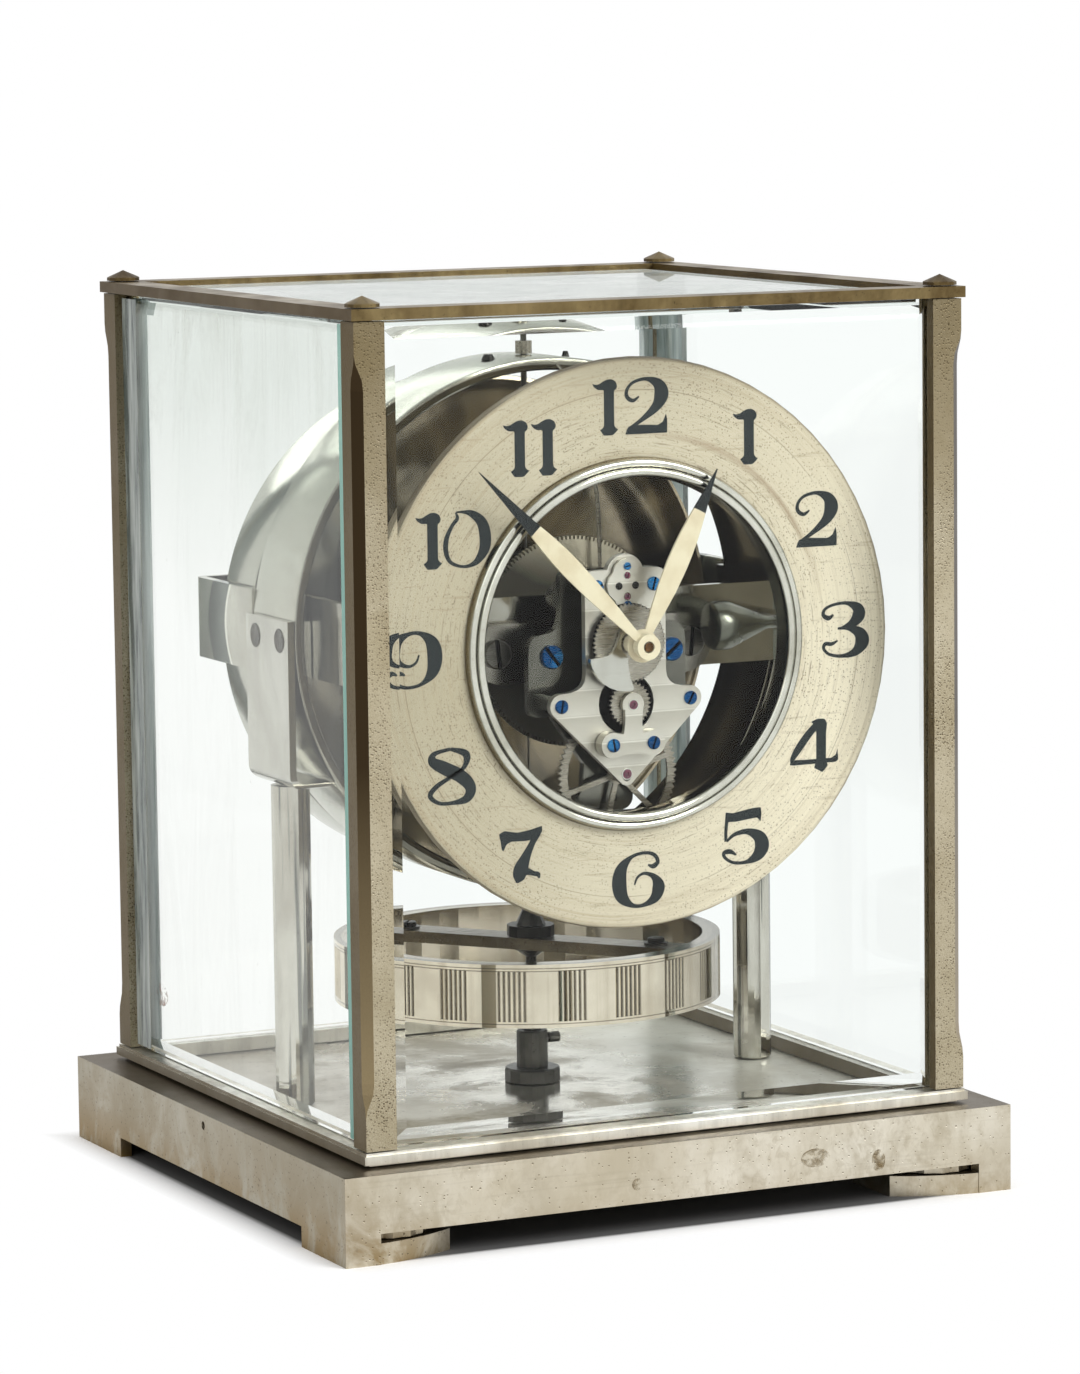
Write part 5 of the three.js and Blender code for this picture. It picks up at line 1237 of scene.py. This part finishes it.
PEN_STROKES = {
    "2": [
        [(27, 67, 1.1), (16, 60, 2.9), (5.7, 66.9, 2.9), (5.7, 80, 2.3), (17, 92.6, 2.3), (40, 97.7, 2.9),
         (61, 88, 6.3), (67, 69, 8), (57, 47.4, 5.7), (34, 27, 3.4), (11.4, 11.4, 2.3), (5.7, 5.7, 2)],
    ],
    "3": [
        [(23, 78.6, 1.2), (14, 72.8, 3.5), (4.6, 78.6, 2.9), (7.5, 89.6, 2.3), (25, 97, 2.3), (48, 98, 2.9),
         (67, 88.4, 6.4), (69.4, 74, 7.5), (56.6, 59.5, 5.2), (34.7, 52, 1.7)],
        [(30.6, 52.6, 1.7), (51, 52, 3.5), (71, 42, 6.9), (75.7, 25, 8.1), (62.4, 7.5, 5.2),
         (39.3, 1.8, 2.9), (16, 5.8, 2.3), (4.6, 17.3, 2.3), (8, 26, 2.9), (19, 25, 2.9),
         (30.6, 30.6, 1.2)],
    ],
    "4": [
        [(54.5, 92, 4.2), (36.4, 72.7, 4.8), (18.2, 48.5, 4.8), (6.7, 30.3, 3.6), (3, 23, 1.8)],
    ],
    "5": [
        [(10, 84, 2.6), (7.6, 63, 2.4), (7.6, 43.5, 2.4)],
        [(8.8, 43.5, 1.8), (23.5, 55.3, 2.9), (47, 58.8, 4.1), (67.6, 48.2, 7.1), (73.5, 30.6, 8.2),
         (64.7, 13, 6.5), (44, 3, 2.9), (20.6, 4.1, 2.4), (5.9, 14, 2.4), (4, 23, 2.9), (14.7, 24.7, 3.5),
         (26.5, 17.6, 1.2)],
    ],
    "6": [
        [(60, 76, 1.2), (69.4, 72.4, 3.5), (77.6, 80.6, 2.9), (70.6, 93.5, 2.9), (53, 98, 2.4),
         (30.6, 92.4, 2.9), (13, 73.5, 6.5), (8, 47, 8.2), (13, 20.6, 7.1), (30.6, 4.5, 3.5), (51, 3, 2.9),
         (71.8, 14.7, 5.9), (78.8, 35.3, 7.1), (70.6, 53, 4.1), (54, 60.6, 2.4), (41, 54.7, 1.8),
         (35.3, 41, 1.2)],
    ],
    "7": [
        [(68, 88, 4.5), (58, 70.6, 4), (47, 48, 5.6), (38.4, 28, 7.9), (34, 11.3, 6.8), (30.5, 1.7, 1.7)],
        [(35.6, 14, 3.4), (47, 21, 4.5), (60, 16.4, 3.4), (67.8, 14, 3.4), (70, 6.8, 1.1)],
    ],
    "8": [
        [(40.6, 98, 2.6), (67.4, 87.4, 4.6), (64.6, 64.6, 3.1), (41.7, 49, 2.9), (16, 33, 3.4),
         (4.6, 17, 3.4), (19, 3.4, 2.9), (41.7, 1.6, 2.9), (67.4, 7.4, 5.1), (75, 26.3, 6.3),
         (59, 47.4, 7.4), (30.3, 64.6, 7.4), (10.3, 77.7, 5.7), (13, 91.4, 3.4), (40.6, 98, 2.6)],
    ],
    "0": [
        [(21, 98, 1.1), (23.5, 87.4, 2.7), (13.7, 73.8, 2.7), (4.4, 52, 3.3), (3.3, 30, 3.3), (11, 11, 2.7),
         (32.8, 2, 2.2), (54.6, 8.2, 3.8), (69.4, 30, 6), (71.6, 54.6, 6.6), (65.6, 79, 6), (49, 94.5, 4.4),
         (33, 98.4, 2.2), (21.5, 98.4, 1.1)],
    ],
}
SOLID_SHAPES = {
    "1": [
        [(13, 10.5), (20, 0), (36, 0), (46, 10.5), (42, 12), (38.5, 17), (38.5, 79), (43, 83), (44, 89),
         (41, 96), (34, 100), (26, 99.5), (19, 96), (12, 91.5), (6, 91), (0, 93), (3, 87), (10, 81.5),
         (20.5, 81), (20.5, 17), (17, 12)],
    ],
    "2": [
        [(1.7, 0), (7.4, 14.3), (28.6, 16.5), (60, 14.5), (69, 20), (75, 34.3), (77, 20), (76.6, 0)],
    ],
    "4": [
        [(40.6, 94.5), (52.7, 99.4), (65.5, 98.2), (70, 89.7), (68, 72.7), (67.5, 24.2), (71, 12),
         (60.6, 0), (55, 4), (45.5, 9), (49.5, 24.2), (50, 72.7), (49, 84.8)],
        [(0.6, 17.5), (3, 26.5), (27.3, 25.5), (78, 25.5), (86, 31), (89, 42.4), (90.3, 21.2), (85.5, 17.5),
         (9, 16.5)],
    ],
    "5": [
        [(5.9, 77), (7.6, 97), (20.6, 94.5), (56, 101), (71.8, 101.5), (73, 89.4), (71.2, 75), (65, 83),
         (53, 82), (26.5, 78.5), (13.5, 79)],
    ],
    "7": [
        [(0, 92), (10.2, 97), (32.8, 92), (55.4, 95.5), (76, 101), (76, 90.4), (66.7, 78), (44, 76),
         (21.5, 77), (13, 72.4), (7.3, 60), (4.5, 65), (2.8, 79)],
    ],
}
GLYPH_WIDTHS = {"0": 75, "1": 46, "2": 77, "3": 83, "4": 90, "5": 83, "6": 83, "7": 75, "8": 80, "9": 83}
NUMERAL_HEIGHT = 13.9 * MM
NUMERAL_STRETCH = 1.12
NUMERAL_SCALE = DIAL_RADIUS / 71.6  # metres for one unit of the centres below, set out on a 71.6 mm dial
NUMERAL_CENTRES = {
    1: (31.4, 50.3), 2: (51.3, 28.6), 3: (59.1, 0.1), 4: (50.3, -29), 5: (30.3, -50.7), 6: (0.1, -59.3),
    7: (-32.3, -50.7), 8: (-51.1, -29.4), 9: (-60, -0.2), 10: (-49.9, 28.7), 11: (-28.3, 50.2),
    12: (-0.8, 59.3),
}
NUMERAL_GAPS = {10: 3, 11: 3, 12: 10}  # between two figures, in hundredths of the height
INK_THICKNESS = 0.05 * MM
LEVEL_STEP, SOLID_LEVEL = 0.25, 0.6  # lifts of the strokes before they are flattened


def pen_weight(half):
    """Broad strokes swell more than the thin ones."""
    return 1.2 * half + 0.6 * max(0, half - 3)


def between(before, start, stop, after, t):
    """Value of a smooth curve at a share t of the way from start to stop."""
    square = 2 * before - 5 * start + 4 * stop - after
    cube = 3 * start - before - 3 * stop + after
    return 0.5 * (2 * start + (stop - before) * t + square * t * t + cube * t ** 3)


def curve_through(points, steps=7):
    """Points along a smooth curve through the given ones, with every value carried along."""
    ends = [points[0]] + list(points) + [points[-1]]
    path = []
    for before, start, stop, after in zip(ends, ends[1:], ends[2:], ends[3:]):
        values = list(zip(before, start, stop, after))
        path += [[between(*four, k / steps) for four in values] for k in range(steps)]
    path.append(list(points[-1]))
    return path


def pen_stroke(mesh, points, level):
    """Adds a flat ribbon along a smooth centre line. Its level keeps strokes out of one plane."""
    path = curve_through(points)
    left, right = [], []
    for k, (x, y, half) in enumerate(path):
        x0, y0, _ = path[max(k - 1, 0)]
        x1, y1, _ = path[min(k + 1, len(path) - 1)]
        across = Vector((y0 - y1, x1 - x0)).normalized() * pen_weight(half)
        left.append(mesh.verts.new((x + across.x, y + across.y, level)))
        right.append(mesh.verts.new((x - across.x, y - across.y, level)))
    for k in range(len(path) - 1):
        mesh.faces.new((right[k], right[k + 1], left[k + 1], left[k]))


def solid_shape(mesh, points, level, cut=1.6):
    """Adds a flat shape with straight sides, each corner rounded within a short reach."""
    corners = []
    for k, corner in enumerate(points):
        here, before, after = Vector(corner), Vector(points[k - 1]), Vector(points[(k + 1) % len(points)])
        start = here + (before - here).normalized() * min(cut, 0.4 * (before - here).length)
        stop = here + (after - here).normalized() * min(cut, 0.4 * (after - here).length)
        corners += [start, (start + stop + 2 * here) / 4, stop]
    mesh.faces.new([mesh.verts.new((p.x, p.y, level)) for p in corners])


def glyph(mesh, figure, x):
    """Adds one figure with its left edge at x. A 9 is a 6 turned half round."""
    drawn = bmesh.new()
    source = "6" if figure == "9" else figure
    for k, points in enumerate(PEN_STROKES.get(source, [])):
        pen_stroke(drawn, points, LEVEL_STEP * k)
    for k, points in enumerate(SOLID_SHAPES.get(source, [])):
        solid_shape(drawn, points, SOLID_LEVEL + LEVEL_STEP * k)
    if figure == "9":
        drawn.transform(Matrix.Translation((GLYPH_WIDTHS["9"], 100, 0)) @ Matrix.Rotation(pi, 4, "Z"))
    drawn.normal_update()
    bmesh.ops.triangulate(drawn, faces=drawn.faces, ngon_method="EAR_CLIP")
    drawn.transform(Matrix.Translation((x, 0, 0)))
    kept = bpy.data.meshes.new("figure")
    drawn.to_mesh(kept)
    drawn.free()
    mesh.from_mesh(kept)
    bpy.data.meshes.remove(kept)


def numeral(hour):
    text = str(hour)
    gap = NUMERAL_GAPS.get(hour, 0)
    widths = [GLYPH_WIDTHS[figure] for figure in text]
    mesh = bmesh.new()
    x = -(sum(widths) + gap * (len(text) - 1)) / 2
    for figure, width in zip(text, widths):
        glyph(mesh, figure, x)
        x += width + gap
    scale = NUMERAL_HEIGHT / 100
    across, up = (value * NUMERAL_SCALE for value in NUMERAL_CENTRES[hour])
    place = Vector((DIAL_CENTRE.x + across, DIAL_FRONT - INK_THICKNESS, DIAL_CENTRE.z + up))
    upright = Matrix((RIGHT, UP, FRONT)).transposed().to_4x4()
    size = Matrix.Diagonal((scale * NUMERAL_STRETCH, scale, 0.004 * MM, 1))
    mesh.transform(Matrix.Translation(place) @ upright @ size @ Matrix.Translation((0, -50, 0)))
    extruded = bmesh.ops.extrude_face_region(mesh, geom=mesh.faces[:])
    moved = [v for v in extruded["geom"] if isinstance(v, bmesh.types.BMVert)]
    bmesh.ops.translate(mesh, verts=moved, vec=(0, INK_THICKNESS * 0.8, 0))
    face_outwards(mesh)
    piece_from(f"numeral_{hour}", mesh, INK, "base")


for hour in range(1, 13):
    numeral(hour)

# Screws on the carrier, the suspension and the balance

BRACKET_SCREW = in_mm([(0, 0), (3.1, 0), (3.1, 0.1), (2.8, 0.22), (2.6, 0.12), (0, 0.12)])
WASHER = in_mm([(0, 0), (3.1, 0), (3.1, 0.6), (0, 0.6)])
STAINS = (("right", 54, 11.5, 0.42, 0.95), ("middle", 36, 14, 0.9, 0.8), ("left", -14, 12.5, 0.3, 0.5))


def carrier_trim():
    side, near = face("bracket_left", 0, 0), face("bracket_left", 1, 0)
    for hand, x, facing in (("left", side, -RIGHT), ("right", -side, RIGHT)):
        for row, inset in (("front", 5.4), ("back", 20.8)):
            place = (x, near + inset * MM, 142.9 * MM)
            turned_piece(f"bracket_screw_{hand}_{row}", BRACKET_SCREW, place, facing, GREY_SCREW, "base")
    for hand, x, wide in (("left", -11, 1), ("right", 11, 0.55)):
        profile = in_mm([(0, 0), (1.9 * wide, 0), (1.5 * wide, 0.8), (1.1 * wide, 1.5), (0, 1.5)])
        place = (x * MM, -2 * MM, face("hoop", 2, 1) - 0.9 * MM)
        turned_piece("hoop_screw_" + hand, profile, place, UP, BLACK_STEEL, "base", segments=24)
    top = face("balance_crossbar", 2, 1)
    angle = atan2(-half_width("balance_crossbar", 1), half_width("balance_crossbar"))
    for end, way in (("front", 1), ("back", -1)):
        x, y = (way * 35.5 * MM * f(angle) for f in (cos, sin))
        name = "crossbar_screw_" + end
        turned_piece(name + "_washer", WASHER, (x, y, top), UP, DARK_STEEL, "balance", segments=28)
        slotted_screw(name, (x, y, top + 0.6 * MM), UP, 2.2 * MM, 1.2 * MM, 40 * way, BLACK_STEEL, "balance")


def plinth_marks():
    """Stains on the plinth's front, and the rust mark inside the left pane."""
    mesh = bmesh.new()
    prism(mesh, circle(1 * MM, 20, 4.6, 3), 0, 0.02 * MM)
    front = face("plinth", 1, 0) - 0.02 * MM
    for name, x, z, wide, tall in STAINS:
        patch = mesh.copy()
        put(patch, at(x, z, front), FRONT, Matrix.Diagonal((wide, tall, 1, 1)))
        piece_from("plinth_stain_" + name, patch, PLINTH_STAIN, "base")
    low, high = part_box("pane_left")
    put(mesh, (high.x + 0.05 * MM, 60 * MM, low.z + 16 * MM), RIGHT)
    piece_from("glass_stain_left", mesh, STAIN, "case")


carrier_trim()
plinth_marks()

# Studio and camera

CAMERA_PLACE = Vector((-0.61384, -1.28379, 0.3037))
CAMERA_YAW, CAMERA_PITCH, CAMERA_ROLL = 0.4485, -0.1246, -0.0122
CAMERA_LENS = 144.92
BACKGROUND_WHITE, AMBIENT = 1, 0.62
WHITE, FLOOR_WHITE, FLOOR_SHADE, BLACK = ((level, level, level, 1) for level in (1, 0.93, 0.1, 0))
FLOOR_REACH, CARD_TARGET, LAMP_TARGET = 6, (0, 0, 0.12), (0, 0, 0.1)


def studio_object(name, data):
    made = bpy.data.objects.new(name, data)
    scene.collection.objects.link(made)
    return made


def camera():
    data = bpy.data.cameras.new("camera")
    data.lens, data.sensor_width, data.clip_start = CAMERA_LENS, 36, 0.05
    made = studio_object("camera", data)
    level_part = cos(CAMERA_PITCH)
    ahead = Vector((sin(CAMERA_YAW) * level_part, cos(CAMERA_YAW) * level_part, sin(CAMERA_PITCH)))
    level = Vector((cos(CAMERA_YAW), -sin(CAMERA_YAW), 0))
    above = level.cross(ahead)
    c, s = cos(CAMERA_ROLL), sin(CAMERA_ROLL)
    right, up = level * c + above * s, above * c - level * s
    made.matrix_world = Matrix.Translation(CAMERA_PLACE) @ Matrix((right, up, -ahead)).transposed().to_4x4()
    scene.camera = made


def world():
    """White for rays that see it directly, and a softer light for everything else."""
    made = bpy.data.worlds.new("studio")
    scene.world = made
    made.use_nodes = True
    g = Graph(made.node_tree)
    g.tree.nodes.clear()
    strength = g.span(g.straight_rays(), 0, 1, AMBIENT, BACKGROUND_WHITE)
    light = g.node("ShaderNodeBackground", {"Color": WHITE, "Strength": strength})
    g.node("ShaderNodeOutputWorld", {"Surface": light.outputs[0]})


def aim(made, place, target, axis):
    made.location = place
    made.rotation_mode = "QUATERNION"
    made.rotation_quaternion = (Vector(target) - Vector(place)).to_track_quat(axis, "Y")


def lamp(name, place, size, power, in_metal=True):
    data = bpy.data.lights.new(name, "AREA")
    data.shape, data.size, data.energy = "SQUARE", size, power
    made = studio_object(name, data)
    made.visible_glossy = in_metal
    aim(made, place, LAMP_TARGET, "-Z")


def flat(name, half_x, half_y, material):
    """A rectangle that belongs to the studio."""
    mesh = bmesh.new()
    mesh.faces.new(ring_of(mesh, rectangle(-half_x, -half_y, half_x, half_y), 0))
    made = mesh_object(name, mesh, material)
    return made


def backdrop():
    """White floor that keeps the shadow under the clock, with a painted dark shadow inside the plinth's
    footprint, and turns pure white away from it.
    """
    m = Finish("floor_white", rough=0.9, metal=0)
    x, y, _ = m.split(m.place)
    outwards = m.most(m.minus(m.gap(x), face("plinth", 0, 1)), m.minus(m.gap(y), face("plinth", 1, 1)))
    away = m.times(m.span(outwards, 0, 8 * MM), m.straight_rays())
    # Painted shadow: the floor's colour turns dark inside the plinth's footprint.
    m.set(Base_Color=m.blend(m.span(outwards, -0.5 * MM, -2.5 * MM), FLOOR_WHITE, FLOOR_SHADE))
    white = m.node("ShaderNodeEmission", {"Color": WHITE, "Strength": BACKGROUND_WHITE})
    both = m.node("ShaderNodeMixShader", {0: away, 1: m.shader.outputs[0], 2: white.outputs[0]})
    m.feed(m.output.inputs["Surface"], both.outputs[0])
    flat("floor", FLOOR_REACH, FLOOR_REACH, m.material)


def dark_card(name, place, width, height, level):
    """A card that shows only in polished metal, as the dark side of a studio does."""
    cloth = Finish(name + "_cloth", BLACK, 1, 0, Emission_Color=(level, level, level * 0.96, 1),
                   Emission_Strength=1, Specular_IOR_Level=0)
    card = flat(name, width / 2, height / 2, cloth.material)
    aim(card, place, CARD_TARGET, "Z")
    for kind in ("camera", "diffuse", "transmission", "shadow", "volume_scatter"):
        setattr(card, "visible_" + kind, False)


camera()
world()
backdrop()
lamp("key", (0.9, -1.5, 1.3), 1, 32)
lamp("fill", (-1.6, -0.7, 1.2), 1.4, 6)
lamp("back", (-0.2, 1.6, 1.6), 1.4, 12, False)
dark_card("card_left", (-1.3, -0.4, 0.45), 0.5, 0.7, 0.06)

scene.view_settings.view_transform = "Standard"
